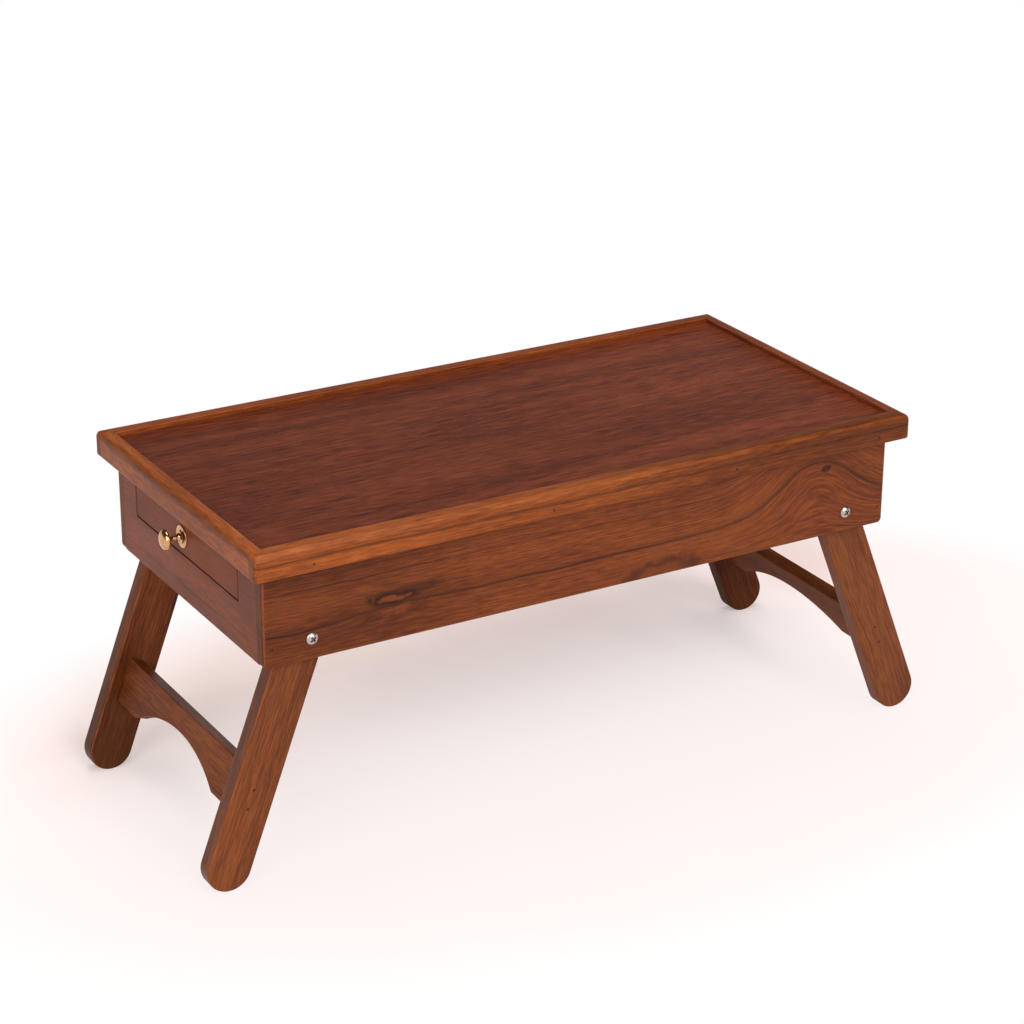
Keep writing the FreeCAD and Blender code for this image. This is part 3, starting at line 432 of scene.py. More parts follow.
# %% Screw heads
def screw_surface(x, way):
    """A pan head screw along Y, with its head on the box's face and its cross recess marked by its depth.

    A dome of radius R that rises by s stands edge + sqrt(R^2 - r^2) - (R - s) high at radius r. A point
    (a, b) is in an arm of the cross where |a| < half and |b| < reach, or the other way round, and the depth
    comes in over the width of a wall. The grid of points is turned by spin, and the cross isn't.
    """
    head, height, edge, shank, length = 5.0, 2.8, 0.7, 2.5, 34.6
    half, reach, wall, recess, cross_turn = 0.62, 2.6, 0.35, 1.5, 0.6
    radii, angles, spin = 44, 96, 0.35 * way
    radius = head * np.linspace(0.001, 1, radii)[:, None]
    angle = np.linspace(0, 2 * math.pi, angles, endpoint=False)[None, :] + spin
    dome = (head ** 2 + (height - edge) ** 2) / (2 * (height - edge))
    top = edge + np.sqrt(dome ** 2 - radius ** 2) - (dome - (height - edge))
    a, b = (radius * wave(angle - spin + cross_turn) for wave in (np.cos, np.sin))
    slot = np.minimum(np.maximum(np.abs(a) - half, np.abs(b) - reach),
                      np.maximum(np.abs(b) - half, np.abs(a) - reach))
    depth = recess * np.clip(-slot / wall + 0.5, 0, 1) * (1 - 0.25 * radius / head)
    disc = np.stack([radius * np.cos(angle), radius * np.sin(angle), (top - depth) + 0 * angle], axis=-1)
    profile = [(head, edge), (head, 0.0), (shank, 0.0), (shank, -length + 0.6), (shank - 0.5, -length),
               (0.02, -length)]
    rest = np.array([[(r * math.cos(t), r * math.sin(t), h) for t in angle[0]] for r, h in profile])
    rings = np.concatenate([disc, rest])
    flat = rings.reshape(-1, 3)
    points = np.stack([x + flat[:, 0], way * (BOX_Y + flat[:, 2]), PIVOT_Z + flat[:, 1]], axis=1)
    # The depth marks the cross, which the nickel darkens there as painted shade
    marks = np.concatenate([(depth / recess).ravel(), np.zeros(rest.shape[0] * angles)])
    return points, closed_faces(len(rings), angles), marks


SCREW_SHARP = 40
points, faces, marks = [], [], []
for end in ENDS.values():
    for way in SIDES.values():
        more_points, more_faces, more_marks = screw_surface(end["pivot"], way)
        start = sum(len(p) for p in points)
        points.append(more_points)
        marks.append(more_marks)
        faces += [[corner + start for corner in f] for f in more_faces]
make_piece("screws", np.vstack(points), faces, "case", "nickel", ["pivot_screws"], sharp=SCREW_SHARP,
           marks=np.concatenate(marks))
print("points in the screws:", sum(len(p) for p in points))

# %% [markdown]
# ## Wood
# Wood is a solid texture: growth rings are shells round the middle of the tree, and a board cuts through
# them, so one pattern in space gives matching grain on the face, the edge and the end of a board. A node
# group holds that effect. It takes coordinates with x along the grain, and gives the dark ring lines, the
# fine fibre, the pores and the broad figure as masks of their own, which each board colours in its own way.


# %% Node helpers
class Tree:
    """Short calls for adding nodes: inputs that are numbers are set, inputs that are sockets are linked."""

    def __init__(self, tree):
        self.tree = tree

    def node(self, kind, inputs=None, **settings):
        made_node = self.tree.nodes.new(kind)
        for key, setting in settings.items():
            setattr(made_node, key, setting)
        for key, given in (inputs or {}).items():
            self.give(made_node.inputs[key], given)
        return made_node

    def give(self, socket, given):
        if isinstance(given, bpy.types.NodeSocket):
            self.tree.links.new(given, socket)
        elif given is not None:
            socket.default_value = given

    def math(self, operation, a, b=None, c=None, clamp=False):
        made_node = self.tree.nodes.new("ShaderNodeMath")
        made_node.operation, made_node.use_clamp = operation, clamp
        for socket, given in zip(made_node.inputs, (a, b, c)):
            self.give(socket, given)
        return made_node.outputs[0]

    def times(self, a, b):
        return self.math("MULTIPLY", a, b)

    def vector(self, operation, a, b=None):
        made_node = self.tree.nodes.new("ShaderNodeVectorMath")
        made_node.operation = operation
        self.give(made_node.inputs[0], a)
        self.give(made_node.inputs[1], b)
        return made_node.outputs["Value" if operation in ("LENGTH", "DOT_PRODUCT") else "Vector"]

    def stretch(self, vector, shares):
        return self.vector("MULTIPLY", vector, shares)

    def part(self, vector, axis):
        return self.node("ShaderNodeSeparateXYZ", {"Vector": vector}).outputs[axis]

    def thrice(self, number):
        return self.node("ShaderNodeCombineXYZ", {axis: number for axis in "XYZ"}).outputs[0]

    def noise(self, vector, scale=1.0, detail=2.0, roughness=0.5):
        inputs = {"Vector": vector, "Scale": scale, "Detail": detail, "Roughness": roughness}
        return self.node("ShaderNodeTexNoise", inputs).outputs["Fac"]

    def bell(self, squared):
        return self.math("POWER", math.e, self.times(squared, -1.0))

    def step(self, given, low, high, to_low=0.0, to_high=1.0, smooth=True):
        kind = "SMOOTHSTEP" if smooth else "LINEAR"
        return self.node("ShaderNodeMapRange", {"Value": given, "From Min": low, "From Max": high,
                                                "To Min": to_low, "To Max": to_high},
                         interpolation_type=kind).outputs["Result"]

    def mix(self, factor, a, b, blend="MIX"):
        made_node = self.tree.nodes.new("ShaderNodeMix")
        made_node.data_type, made_node.blend_type = "RGBA", blend
        self.give(made_node.inputs["Factor"], factor)
        self.give(made_node.inputs["A"], a)
        self.give(made_node.inputs["B"], b)
        return made_node.outputs["Result"]


def blank(owner):
    """The node tree of a new material or world, emptied."""
    owner.use_nodes = True
    owner.node_tree.nodes.clear()
    return Tree(owner.node_tree)


def new_group(name, inputs, outputs):
    """An empty node group with named sockets."""
    tree = bpy.data.node_groups.new(name, "ShaderNodeTree")
    for label, kind, default in inputs:
        socket = tree.interface.new_socket(name=label, in_out="INPUT", socket_type=kind)
        if default is not None:
            socket.default_value = default
    for label, kind in outputs:
        tree.interface.new_socket(name=label, in_out="OUTPUT", socket_type=kind)
    return tree, tree.nodes.new("NodeGroupInput").outputs, tree.nodes.new("NodeGroupOutput").inputs


# %% Grain group
FLOAT, VECTOR = "NodeSocketFloat", "NodeSocketVector"
RIPPLE, COMB = 0.0035, 0.0026
grain, given, result = new_group(
    "board_grain",
    [("Vector", VECTOR, None), ("Pith", VECTOR, (0, -0.15, -0.02)), ("Ring", FLOAT, 0.003),
     ("Wander", FLOAT, 0.006), ("Swirl", FLOAT, 0.0), ("Streak", FLOAT, 0.0), ("Fineness", FLOAT, 1.0),
     ("Seed", FLOAT, 0.0)],
    [("Lines", FLOAT), ("Fibre", FLOAT), ("Pores", FLOAT), ("Figure", FLOAT), ("Height", FLOAT)])
g = Tree(grain)
seeded = g.vector("ADD", given["Vector"], g.node("ShaderNodeCombineXYZ", {"X": given["Seed"]}).outputs[0])
drift = g.noise(g.stretch(seeded, (2.6, 13.0, 13.0)), detail=1.5)
ripple = g.noise(g.stretch(seeded, (18.0, 80.0, 80.0)), detail=2.0)
# The distance from the pith tells the rings apart, and a slow drift and a fine ripple make them wander
section = g.stretch(g.vector("SUBTRACT", given["Vector"], given["Pith"]), (0.0, 1.0, 1.0))
shell = g.math("ADD", g.vector("LENGTH", section), given["Swirl"])
shell = g.math("MULTIPLY_ADD", g.math("SUBTRACT", drift, 0.5), given["Wander"], shell)
parts = g.node("ShaderNodeSeparateXYZ", {"Vector": seeded}).outputs
# Everything fine flows along the bent rings, because it is looked up at the shell in place of Y
flow = g.node("ShaderNodeCombineXYZ", {"X": parts["X"], "Y": shell, "Z": parts["Z"]}).outputs[0]
rough_shell = g.math("MULTIPLY_ADD", g.math("SUBTRACT", ripple, 0.5), RIPPLE, shell)
phase = g.math("DIVIDE", rough_shell, given["Ring"])
within = g.math("FRACT", phase)
# A ring darkens slowly, then fast, and stops sharply where the next spring's wood begins
late = g.math("MULTIPLY_ADD", g.step(within, 0.62, 0.92), 0.7, g.times(g.step(within, 0.1, 0.92), 0.3))
late = g.times(late, g.step(within, 1.0, 0.95))
# A few rings are bold and most are faint, and each line comes and goes along its length
which = g.node("ShaderNodeTexWhiteNoise", {"W": g.math("FLOOR", phase)},
               noise_dimensions="1D").outputs["Value"]
bold = g.math("MULTIPLY_ADD", g.math("POWER", which, 2.0), 0.85, 0.15)
patchy = g.step(g.noise(g.stretch(flow, (6.0, 60.0, 30.0)), detail=2.0), 0.35, 0.65, 0.3, 1.0)
rings = g.times(g.times(late, bold), patchy)
past = g.math("SUBTRACT", rough_shell, given["Streak"])


def bell_of(middle, width):
    """exp(-d squared), with d the distance from a middle past the streak, in widths."""
    d = g.math("DIVIDE", g.math("SUBTRACT", past, middle), width)
    return g.bell(g.times(d, d))


# Beside the streak, which is one dark shell, runs a comb of close thin lines
comb = g.math("FRACT", g.math("DIVIDE", rough_shell, COMB))
comb = g.times(g.step(comb, 0.5, 0.85), g.step(comb, 1.0, 0.9))
comb = g.times(g.times(comb, patchy), g.times(bell_of(0.008, 0.011), 0.5))
streak = g.math("MULTIPLY_ADD", bell_of(0.0015, 0.0035), 0.3,
                g.times(bell_of(0.0, 0.0009), g.step(patchy, 0.3, 1.0, 0.6, 1.0)))
g.give(result["Lines"], g.math("MAXIMUM", g.math("MAXIMUM", rings, comb), streak, clamp=True))
finely = g.stretch(flow, g.thrice(given["Fineness"]))
thread = g.noise(g.stretch(finely, (48.0, 820.0, 820.0)), detail=3.0, roughness=0.66)
g.give(result["Fibre"], g.step(thread, 0.3, 0.7))
pore = g.noise(g.stretch(flow, (90.0, 1500.0, 1500.0)), detail=1.0)
g.give(result["Pores"], g.times(g.step(pore, 0.57, 0.7), g.step(within, 0.0, 0.5, 1.0, 0.5)))
broad = g.noise(g.stretch(flow, (4.0, 40.0, 22.0)), detail=3.0, roughness=0.5)
g.give(result["Figure"], g.step(broad, 0.3, 0.7))
relief = g.math("MULTIPLY_ADD", pore, -0.5, g.times(thread, 0.6))
g.give(result["Height"], g.math("MULTIPLY_ADD", late, 0.2, relief))

# %% [markdown]
# Where a branch grew, the rings swell round it. A swelling is a bell shape, exp(-d squared), whose height is
# added to the distance from the middle of the tree. A tall narrow bell closes rings into a knot, and a low
# wide one bends them into flowing arches. The same bell, sharpened, darkens the knot itself.

# %% Swelling group
swelling, given, result = new_group(
    "branch_swelling",
    [("Vector", VECTOR, None), ("Centre", VECTOR, (0, 0, 0)), ("Spread", VECTOR, (0.03, 0.01, 0.05)),
     ("Height", FLOAT, 0.01), ("Crumple", FLOAT, 0.0)],
    [("Swirl", FLOAT), ("Knot", FLOAT)])
g = Tree(swelling)
away = g.vector("DIVIDE", g.vector("SUBTRACT", given["Vector"], given["Centre"]), given["Spread"])
crumple = g.node("ShaderNodeTexNoise", {"Vector": given["Vector"], "Scale": 95.0, "Detail": 3.0})
shift = g.vector("SUBTRACT", crumple.outputs["Color"], (0.5, 0.5, 0.5))
away = g.vector("ADD", away, g.stretch(shift, g.thrice(given["Crumple"])))
bell = g.bell(g.vector("DOT_PRODUCT", away, away))
g.give(result["Swirl"], g.times(bell, given["Height"]))
g.give(result["Knot"], bell)

# %% [markdown]
# Hands and sleeves rub the lacquer thin along the eased edges, where the wood shows paler and duller. The
# same paler band also stands for the highlight that the rounded edges catch, so it is partly painted
# highlight. The boards carry a mark along those edges, and a coarse noise breaks it into patches.

# %% Edge wear and painted highlight group
edge_wear_and_highlight, given, result = new_group(
    "edge_wear_and_highlight", [("Vector", VECTOR, None), ("Edge", FLOAT, 0.0), ("Amount", FLOAT, 0.5)], [("Wear and highlight", FLOAT)])
g = Tree(edge_wear_and_highlight)
patches = g.noise(given["Vector"], scale=42.0, detail=4.0, roughness=0.65)
rubbing_and_highlight = g.step(g.math("MULTIPLY_ADD", given["Edge"], 0.45, patches), 0.65, 0.98)
g.give(result["Wear and highlight"], g.times(g.times(rubbing_and_highlight, given["Edge"]), given["Amount"]))

# %% [markdown]
# ## Lacquered wood
# The real desk is stained and lacquered. Colour comes from three tones that the figure and the fibre choose
# between, then ring lines and pores darken it. End grain drinks more stain, so faces that look along the
# grain turn darker and greyer. The lacquer is a thin, fairly smooth coat that fills the pores, so the bump is
# slight, and it reflects little: the wood keeps its deep colour even where it mirrors the pale floor.


# %% Colours of knots, nails and ends
LACQUER, DULL_LACQUER, THIN_LACQUER = 1.24, 1.19, 1.15
NAIL = (0.012, 0.006, 0.004, 1)
NAIL_CORE, NAIL_EDGE, NAIL_SHARE = 0.75, 1.35, 0.85
KNOT_TINT, WORN_AND_HIGHLIGHT_TINT, END_TINT = (1.25, 1.05, 1.0), (1.6, 1.8, 2.4), (2.2, 0.95, 0.5)
PORE_TINT, PORE_SHARE = (0.6, 0.6, 0.6), 0.3
END_SHARE, WORN_DULLNESS, CRUMPLE = 0.3, 0.25, 1.3


def in_metres(numbers):
    return [c * MM for c in numbers]


def tinted(tone, tint=(1, 1, 1)):
    """A colour from a tone, with each channel multiplied by the tint's."""
    return (*[c * s for c, s in zip(tone, tint)], 1)


def with_knot(t, colour, cut, bell, rim, heart, tones, line):
    """A knot's warm heart and dark ragged rim, which follow the bell of its swelling."""
    warm = t.times(t.step(bell, 0.4, 0.95), heart)
    colour = t.mix(warm, colour, tinted(tones[2], KNOT_TINT))
    ragged = t.math("MULTIPLY_ADD", t.math("SUBTRACT", cut["Fibre"], 0.5), 0.22, bell)
    ragged = t.math("MULTIPLY_ADD", t.math("SUBTRACT", cut["Figure"], 0.5), 0.25, ragged)
    edge = t.times(t.step(ragged, 0.12, 0.42), t.step(ragged, 0.48, 0.9, 1.0, 1.0 - heart))
    return t.mix(t.times(edge, rim), colour, tinted(line))


def with_nail(t, colour, local, nail, across):
    """A sunk nail head: a dark dot round a line through the board."""
    beside = t.stretch(t.vector("SUBTRACT", local, in_metres(nail)), across)
    sunk = t.step(t.vector("LENGTH", beside), NAIL_EDGE * MM, NAIL_CORE * MM)
    return t.mix(t.times(sunk, NAIL_SHARE), colour, NAIL)


# %% A wood material
wood = {}


def lacquered(name, tones, line, turn, centre, pith, ring_width, wander, swirls=(), streak=-1000.0, seed=0.0,
              line_strength=0.8, rough=(0.30, 0.42), lacquer=LACQUER, fineness=1.0, fade=None, nails=(),
              across=(1, 1, 0), figure=0.42, wear_and_highlight=0.35):
    """The wood of the board of this name. turn and centre place its own axes, with x along the grain.

    Each swirl is its middle, its spread, its height and, for a knot, how dark its rim is and how warm its
    heart. fade is from where to where along the board the colour changes, and by what factor in the end.
    nails are the places of the sunk nail heads, and across marks the axes that lie in the nailed face.
    figure is the share that the broad figure has in the tone, and wear says how much paler and duller the
    edges turn where the lacquer is thin, a band that also paints their highlight.
    """
    wood[name] = bpy.data.materials.new(f"{name}_wood")
    t = blank(wood[name])
    place = t.node("ShaderNodeTexCoord").outputs
    local = t.node("ShaderNodeMapping", {"Vector": place["Object"], "Location": in_metres(centre),
                                         "Rotation": turn}, vector_type="TEXTURE").outputs["Vector"]
    swirl, knots = 0.0, []
    for middle, spread, height, knot in swirls:
        bump = t.node("ShaderNodeGroup", {
            "Vector": local, "Centre": in_metres(middle), "Spread": in_metres(spread), "Height": height * MM,
            "Crumple": CRUMPLE if knot else 0.0}, node_tree=swelling).outputs
        swirl = t.math("ADD", swirl, bump["Swirl"])
        if knot:
            knots.append((bump["Knot"], *knot))
    cut = t.node("ShaderNodeGroup", {
        "Vector": local, "Pith": in_metres(pith), "Ring": ring_width * MM, "Wander": wander * MM,
        "Swirl": swirl, "Streak": streak * MM, "Fineness": fineness, "Seed": seed}, node_tree=grain).outputs
    tone = t.math("ADD", t.times(cut["Figure"], figure), t.times(cut["Fibre"], 1 - figure))
    ramp = t.node("ShaderNodeValToRGB", {"Fac": tone})
    dark, pale = ramp.color_ramp.elements
    dark.position, dark.color = 0.15, tinted(tones[0])
    pale.position, pale.color = 0.88, tinted(tones[2])
    ramp.color_ramp.elements.new(0.52).color = tinted(tones[1])
    colour = ramp.outputs["Color"]
    for bell, rim, heart in knots:
        colour = with_knot(t, colour, cut, bell, rim, heart, tones, line)
    colour = t.mix(t.times(cut["Lines"], line_strength), colour, tinted(line))
    colour = t.mix(t.times(cut["Pores"], PORE_SHARE), colour, tinted(line, PORE_TINT))
    if fade:
        begin, stop, left_over = fade
        shade = t.step(t.part(local, "X"), begin * MM, stop * MM)
        colour = t.mix(shade, colour, (left_over, left_over, left_over, 1), blend="MULTIPLY")
    for nail in nails:
        colour = with_nail(t, colour, local, nail, across)
    along = Euler(turn).to_matrix().col[0]
    facing = t.math("ABSOLUTE", t.vector("DOT_PRODUCT", place["Normal"], tuple(along)))
    grey = sum(tones[0]) / 3
    ended = t.times(t.step(facing, 0.75, 0.98), END_SHARE)
    colour = t.mix(ended, colour, tinted((grey, grey, grey), END_TINT))
    marked = t.node("ShaderNodeAttribute", attribute_name="mark").outputs["Fac"]
    rubbing_and_highlight = t.node("ShaderNodeGroup", {"Vector": place["Object"], "Edge": marked, "Amount": wear_and_highlight},
                    node_tree=edge_wear_and_highlight).outputs["Wear and highlight"]
    # Paler along the eased edges: the lacquer worn thin there, and a painted highlight on the roundings
    colour = t.mix(rubbing_and_highlight, colour, tinted(tones[2], WORN_AND_HIGHLIGHT_TINT))
    height = t.node("ShaderNodeBump", {"Strength": 0.35, "Distance": 0.00012, "Height": cut["Height"]})
    smudge = t.noise(place["Object"], scale=22.0, detail=3.0)
    dull = t.step(t.math("MULTIPLY_ADD", cut["Fibre"], 0.3, smudge), 0.35, 0.95, *rough)
    dull = t.math("MULTIPLY_ADD", rubbing_and_highlight, WORN_DULLNESS, dull)
    # End grain and faces that look down reflect least
    lean = t.part(place["Normal"], "Z")
    shine = t.times(t.step(facing, 0.75, 0.98, 0.5, 0.2), t.step(lean, -0.7, -0.05, 0.1, 1.0))
    shader = t.node("ShaderNodeBsdfPrincipled", {
        "Base Color": colour, "Roughness": dull, "Normal": height.outputs["Normal"], "IOR": lacquer,
        "Specular IOR Level": shine})
    t.node("ShaderNodeOutputMaterial", {"Surface": shader.outputs["BSDF"]})


# %% Directions and tones
def turned_to(x, y):
    """Euler angles of a board whose own x and y axes point along the given directions."""
    x, y = Vector(x), Vector(y)
    return tuple(Matrix((x, y, x.cross(y))).transposed().to_euler())


ALONG_X = turned_to((1, 0, 0), (0, 0, 1))
ALONG_Y = turned_to((0, 1, 0), (0, 0, 1))
FLAT_X = turned_to((1, 0, 0), (0, 1, 0))


def scaled(tones, share):
    """The same tones, each multiplied by a share."""
    return tuple(tuple(c * share for c in tone) for tone in tones)


# %% Tones of this desk
BOX_TONES = ((0.090, 0.0185, 0.0038), (0.148, 0.0335, 0.0068), (0.212, 0.0535, 0.0106))
FACE_TONES = ((0.089, 0.0193, 0.0046), (0.134, 0.0297, 0.0070), (0.182, 0.0425, 0.0098))
END_TONES = ((0.105, 0.027, 0.0125), (0.158, 0.042, 0.0185), (0.215, 0.060, 0.025))
FRONT_RIM_TONES = ((0.122, 0.0265, 0.0046), (0.203, 0.047, 0.0078), (0.297, 0.075, 0.0130))
LEFT_RIM_TONES = ((0.132, 0.031, 0.0078), (0.218, 0.054, 0.0125), (0.31, 0.083, 0.0195))
RIGHT_RIM_TONES = ((0.086, 0.0155, 0.0045), (0.135, 0.0265, 0.0072), (0.195, 0.043, 0.0115))
BACK_RIM_TONES = ((0.1012, 0.01848, 0.00308), (0.1584, 0.03168, 0.00484), (0.2288, 0.05104, 0.00792))
TRAY_TONES = ((0.046, 0.0082, 0.0030), (0.098, 0.0188, 0.0064), (0.155, 0.0325, 0.0106))
LEG_TONES = ((0.090, 0.021, 0.0060), (0.155, 0.040, 0.0105), (0.220, 0.062, 0.0155))
INSIDE_TONES = ((0.20, 0.105, 0.05), (0.30, 0.17, 0.085), (0.40, 0.24, 0.13))
DARK, TRAY_DARK = (0.018, 0.005, 0.0025), (0.02, 0.006, 0.005)
LEFT_RIM_LINES_AND_SHADE, INSIDE_DARK = (0.034, 0.0075, 0.0025), (0.08, 0.035, 0.02)
RAIL_NAILS = [(x, 277, 0) for x in (-256, -45, 129, 273)]
END_NAILS = [(y, 277, 0) for y in (-118, 118)]
CORNER_NAILS = [(x, z, 0) for x in (-286, 287) for z in (206, 272.5)]

# %% Woods of the box and the drawer
lacquered(
    "front_board", scaled(BOX_TONES, 0.95), DARK, ALONG_X, (0, -BOX_Y, 0), (0, 60, -70), 4.6, 5,
    swirls=[((222, 258, 0), (58, 48, 60), -38, None),
            ((231, 252, 0), (4.0, 2.5, 20), -8, (0.85, 0.0)),
            ((68, 194, 0), (30, 9, 30), -8, (0.6, 0.4)),
            ((-168, 230.5, 0), (31, 3.4, 20), 0, (0.5, 0.0)),
            ((-181, 226, 0), (22, 4.6, 20), 7, (0.85, 0.75)),
            ((-179, 215.5, 0), (26, 6, 20), -5, (0.35, 0.6)),
            ((-262, 216, 0), (50, 16, 30), 3, None)], streak=173.5, seed=1.3, fade=(-60, -200, 0.81),
    nails=CORNER_NAILS)
lacquered(
    "back_board", BOX_TONES, DARK, ALONG_X, (0, BOX_Y, 0), (0, 40, 60), 3.2, 9,
    swirls=[((-120, 250, 0), (70, 40, 60), -22, None)], seed=5.1, nails=CORNER_NAILS)
lacquered(
    "left_end_board", END_TONES, DARK, ALONG_Y, (-BOX_X, 0, 0), (0, 90, -60), 5.0, 9, seed=2.2,
    line_strength=0.6, lacquer=THIN_LACQUER)
lacquered(
    "right_end_board", END_TONES, DARK, ALONG_Y, (BOX_X, 0, 0), (0, 20, 50), 4.2, 8, seed=7.7)
lacquered(
    "drawer_face", FACE_TONES, DARK, ALONG_Y, (-BOX_X, 0, 0), (0, 150, 40), 4.6, 6, seed=3.9,
    line_strength=0.3, lacquer=THIN_LACQUER)
wood["drawer_tongue"] = wood["drawer_face"]

# %% Woods of the rim and the tray
RAIL_WEAR_AND_HIGHLIGHT, LEFT_RAIL_WEAR_AND_HIGHLIGHT = 0.14, 0.06
lacquered(
    "front_rail", FRONT_RIM_TONES, DARK, ALONG_X, (0, -TRAY_Y, 0), (0, 240, -6), 4.2, 6, seed=4.4,
    line_strength=0.6, fade=(-200, 200, 0.63), nails=RAIL_NAILS, streak=43.2, wear_and_highlight=RAIL_WEAR_AND_HIGHLIGHT)
lacquered(
    "back_rail", BACK_RIM_TONES, DARK, ALONG_X, (0, TRAY_Y, 0), (0, 250, 40), 3.6, 5, seed=6.4,
    nails=RAIL_NAILS, wear_and_highlight=RAIL_WEAR_AND_HIGHLIGHT)
# The left rail's streak runs along its outer rounded edge: a dark band of painted shade there
lacquered(
    "left_rail", LEFT_RIM_TONES, LEFT_RIM_LINES_AND_SHADE, ALONG_Y, (-TRAY_X, 0, 0), (0, 229.6, 127.4), 6.0, 1.0,
    seed=8.1, streak=139.7, line_strength=0.62, lacquer=DULL_LACQUER, nails=END_NAILS, fade=(0, -130, 1.2),
    wear_and_highlight=LEFT_RAIL_WEAR_AND_HIGHLIGHT)
lacquered(
    "right_rail", RIGHT_RIM_TONES, DARK, ALONG_Y, (TRAY_X, 0, 0), (0, 260, -30), 3.9, 6, seed=9.6,
    nails=END_NAILS, wear_and_highlight=RAIL_WEAR_AND_HIGHLIGHT)
lacquered(
    "tray_panel", TRAY_TONES, TRAY_DARK, FLAT_X, (0, 0, 288), (0, -420, -60), 6.5, 16, seed=0.7,
    line_strength=0.65, rough=(0.28, 0.4), fineness=0.8, figure=0.3, fade=(-50, 250, 1.2))

# %% Woods of the legs and stretchers
# For each leg: the share of the tones, its fade, its lacquer and how strong its ring lines are. The right
# back leg's low share and the left back leg's fade to a darker foot are painted shade.
LEG_LOOKS_AND_SHADE = {
    "left_front": (0.78, (60, 200, 1.12), LACQUER, 0.45),
    "left_back": (1.05, (40, 200, 0.45), DULL_LACQUER, 0.8),
    "right_front": (0.76, None, LACQUER, 0.5),
    "right_back": (0.5, None, THIN_LACQUER, 0.8),
}
STRETCHER_SHARES = {"left": 0.95, "right": 0.82}
LEG_NAIL_DROPS = (133, 149.5)
for end_name, end in ENDS.items():
    upright = turned_to(tuple(end["down"]), (0, 1, 0))
    pivot = (end["pivot"], 0, PIVOT_Z)
    leg_nails = [(drop, 0, end["way"] * end["shift"]) for drop in LEG_NAIL_DROPS]
    for index, name in enumerate(SIDES):
        share, fade, lacquer, line_strength = LEG_LOOKS_AND_SHADE[f"{end_name}_{name}"]
        lacquered(
            f"{end_name}_{name}_leg", scaled(LEG_TONES, share), DARK, upright, pivot,
            (0, 60 - 30 * index, -45 + 100 * index), 4.4, 7, seed=10.5 + 3 * index + end["way"], fade=fade,
            lacquer=lacquer, nails=leg_nails, across=(1, 0, 1), line_strength=line_strength)
    lacquered(
        f"{end_name}_cross_rail", scaled(LEG_TONES, STRETCHER_SHARES[end_name]), DARK,
        turned_to((0, 1, 0), tuple(-end["down"])), pivot, (0, -240, 12), 3.4, 8, seed=15.5 + end["way"],
        lacquer=THIN_LACQUER)
lacquered(
    "inside", INSIDE_TONES, INSIDE_DARK, FLAT_X, (0, 0, 250), (0, -90, -40), 3.8, 8, seed=11.0,
    line_strength=0.45, rough=(0.5, 0.7))
print("woods made:", len(wood))

# %% [markdown]
# ## Metals
# The knob is polished brass with faint smudges, the screws are bright nickel, and the nails are dull dark
# steel sunk under the lacquer. Small changes of roughness keep the metal from looking like plain plastic.


# %% Metal materials
SMUDGES, SCRATCHES = 180.0, 1620.0


def metal(name, colour, smudged, rough, recess=None, grime=0.0):
    """Metal whose colour and roughness wander a little, as handled metal does.

    recess is the colour of the marked places: painted shade in the screws' crosses, and tarnish with painted
    shade in the knob's creases. grime is how much of the surface isn't bare metal.
    """
    material = bpy.data.materials.new(name)
    t = blank(material)
    place = t.node("ShaderNodeTexCoord").outputs["Object"]
    cloud = t.noise(place, scale=SMUDGES, detail=4.0, roughness=0.6)
    tint = t.mix(t.step(cloud, 0.35, 0.7), tinted(colour), tinted(smudged))
    if recess:
        marked = t.node("ShaderNodeAttribute", attribute_name="mark").outputs["Fac"]
        tint = t.mix(t.step(marked, 0.1, 0.6), tint, tinted(recess))
    dull = t.step(cloud, 0.3, 0.75, *rough)
    fine = t.noise(place, scale=SCRATCHES, detail=2.0)
    height = t.node("ShaderNodeBump", {"Strength": 0.12, "Distance": 0.00003, "Height": fine})
    shader = t.node("ShaderNodeBsdfPrincipled", {
        "Base Color": tint, "Roughness": dull, "Metallic": 1.0 - grime, "Normal": height.outputs["Normal"]})
    t.node("ShaderNodeOutputMaterial", {"Surface": shader.outputs["BSDF"]})
    return material


# The tarnished brass in the knob's creases is tarnish with painted shade
BRASS, SMUDGED_BRASS, TARNISH_AND_SHADE = (0.68, 0.365, 0.185), (0.53, 0.265, 0.118), (0.16, 0.075, 0.03)
# The darkest nickel is painted shade in the screws' crosses
NICKEL, SMUDGED_NICKEL, NICKEL_RECESS_SHADE = (0.56, 0.48, 0.43), (0.44, 0.37, 0.33), (0.17, 0.115, 0.09)
STEEL, DARK_STEEL = (0.05, 0.035, 0.028), (0.03, 0.02, 0.016)
metals = {
    "brass": metal("polished_brass", BRASS, SMUDGED_BRASS, (0.16, 0.26), recess=TARNISH_AND_SHADE),
    "nickel": metal("bright_nickel", NICKEL, SMUDGED_NICKEL, (0.24, 0.38), recess=NICKEL_RECESS_SHADE),
    "nail": metal("dark_nail", STEEL, DARK_STEEL, (0.5, 0.7), grime=0.4),
}


# %% Dress every piece
def dress(piece, material):
    piece.data.materials.clear()
    piece.data.materials.append(material)


for piece in made:
    if piece.name in wood:
        dress(piece, wood[piece.name])
for name in ("rose_plate", "turned_knob"):
    dress(bpy.data.objects[name], metals["brass"])
dress(bpy.data.objects["screws"], metals["nickel"])
dress(nodes["tray_panel"], wood["tray_panel"])
for name in ("centre_divider", "drawer_runner_front", "drawer_runner_back", "drawer_side_front",
             "drawer_side_back", "drawer_back", "drawer_bottom"):
    dress(nodes[name], wood["inside"])
for name in ("pivot_washers", "pivot_nuts", "knob_screw"):
    dress(nodes[name], metals["nickel"])
for name in ("rim_brads", "box_brads", "drawer_brads", "leg_brads_left", "leg_brads_right"):
    dress(nodes[name], metals["nail"])
bare = [piece.name for piece in made if not piece.data.materials]
print("pieces without a material:", bare)

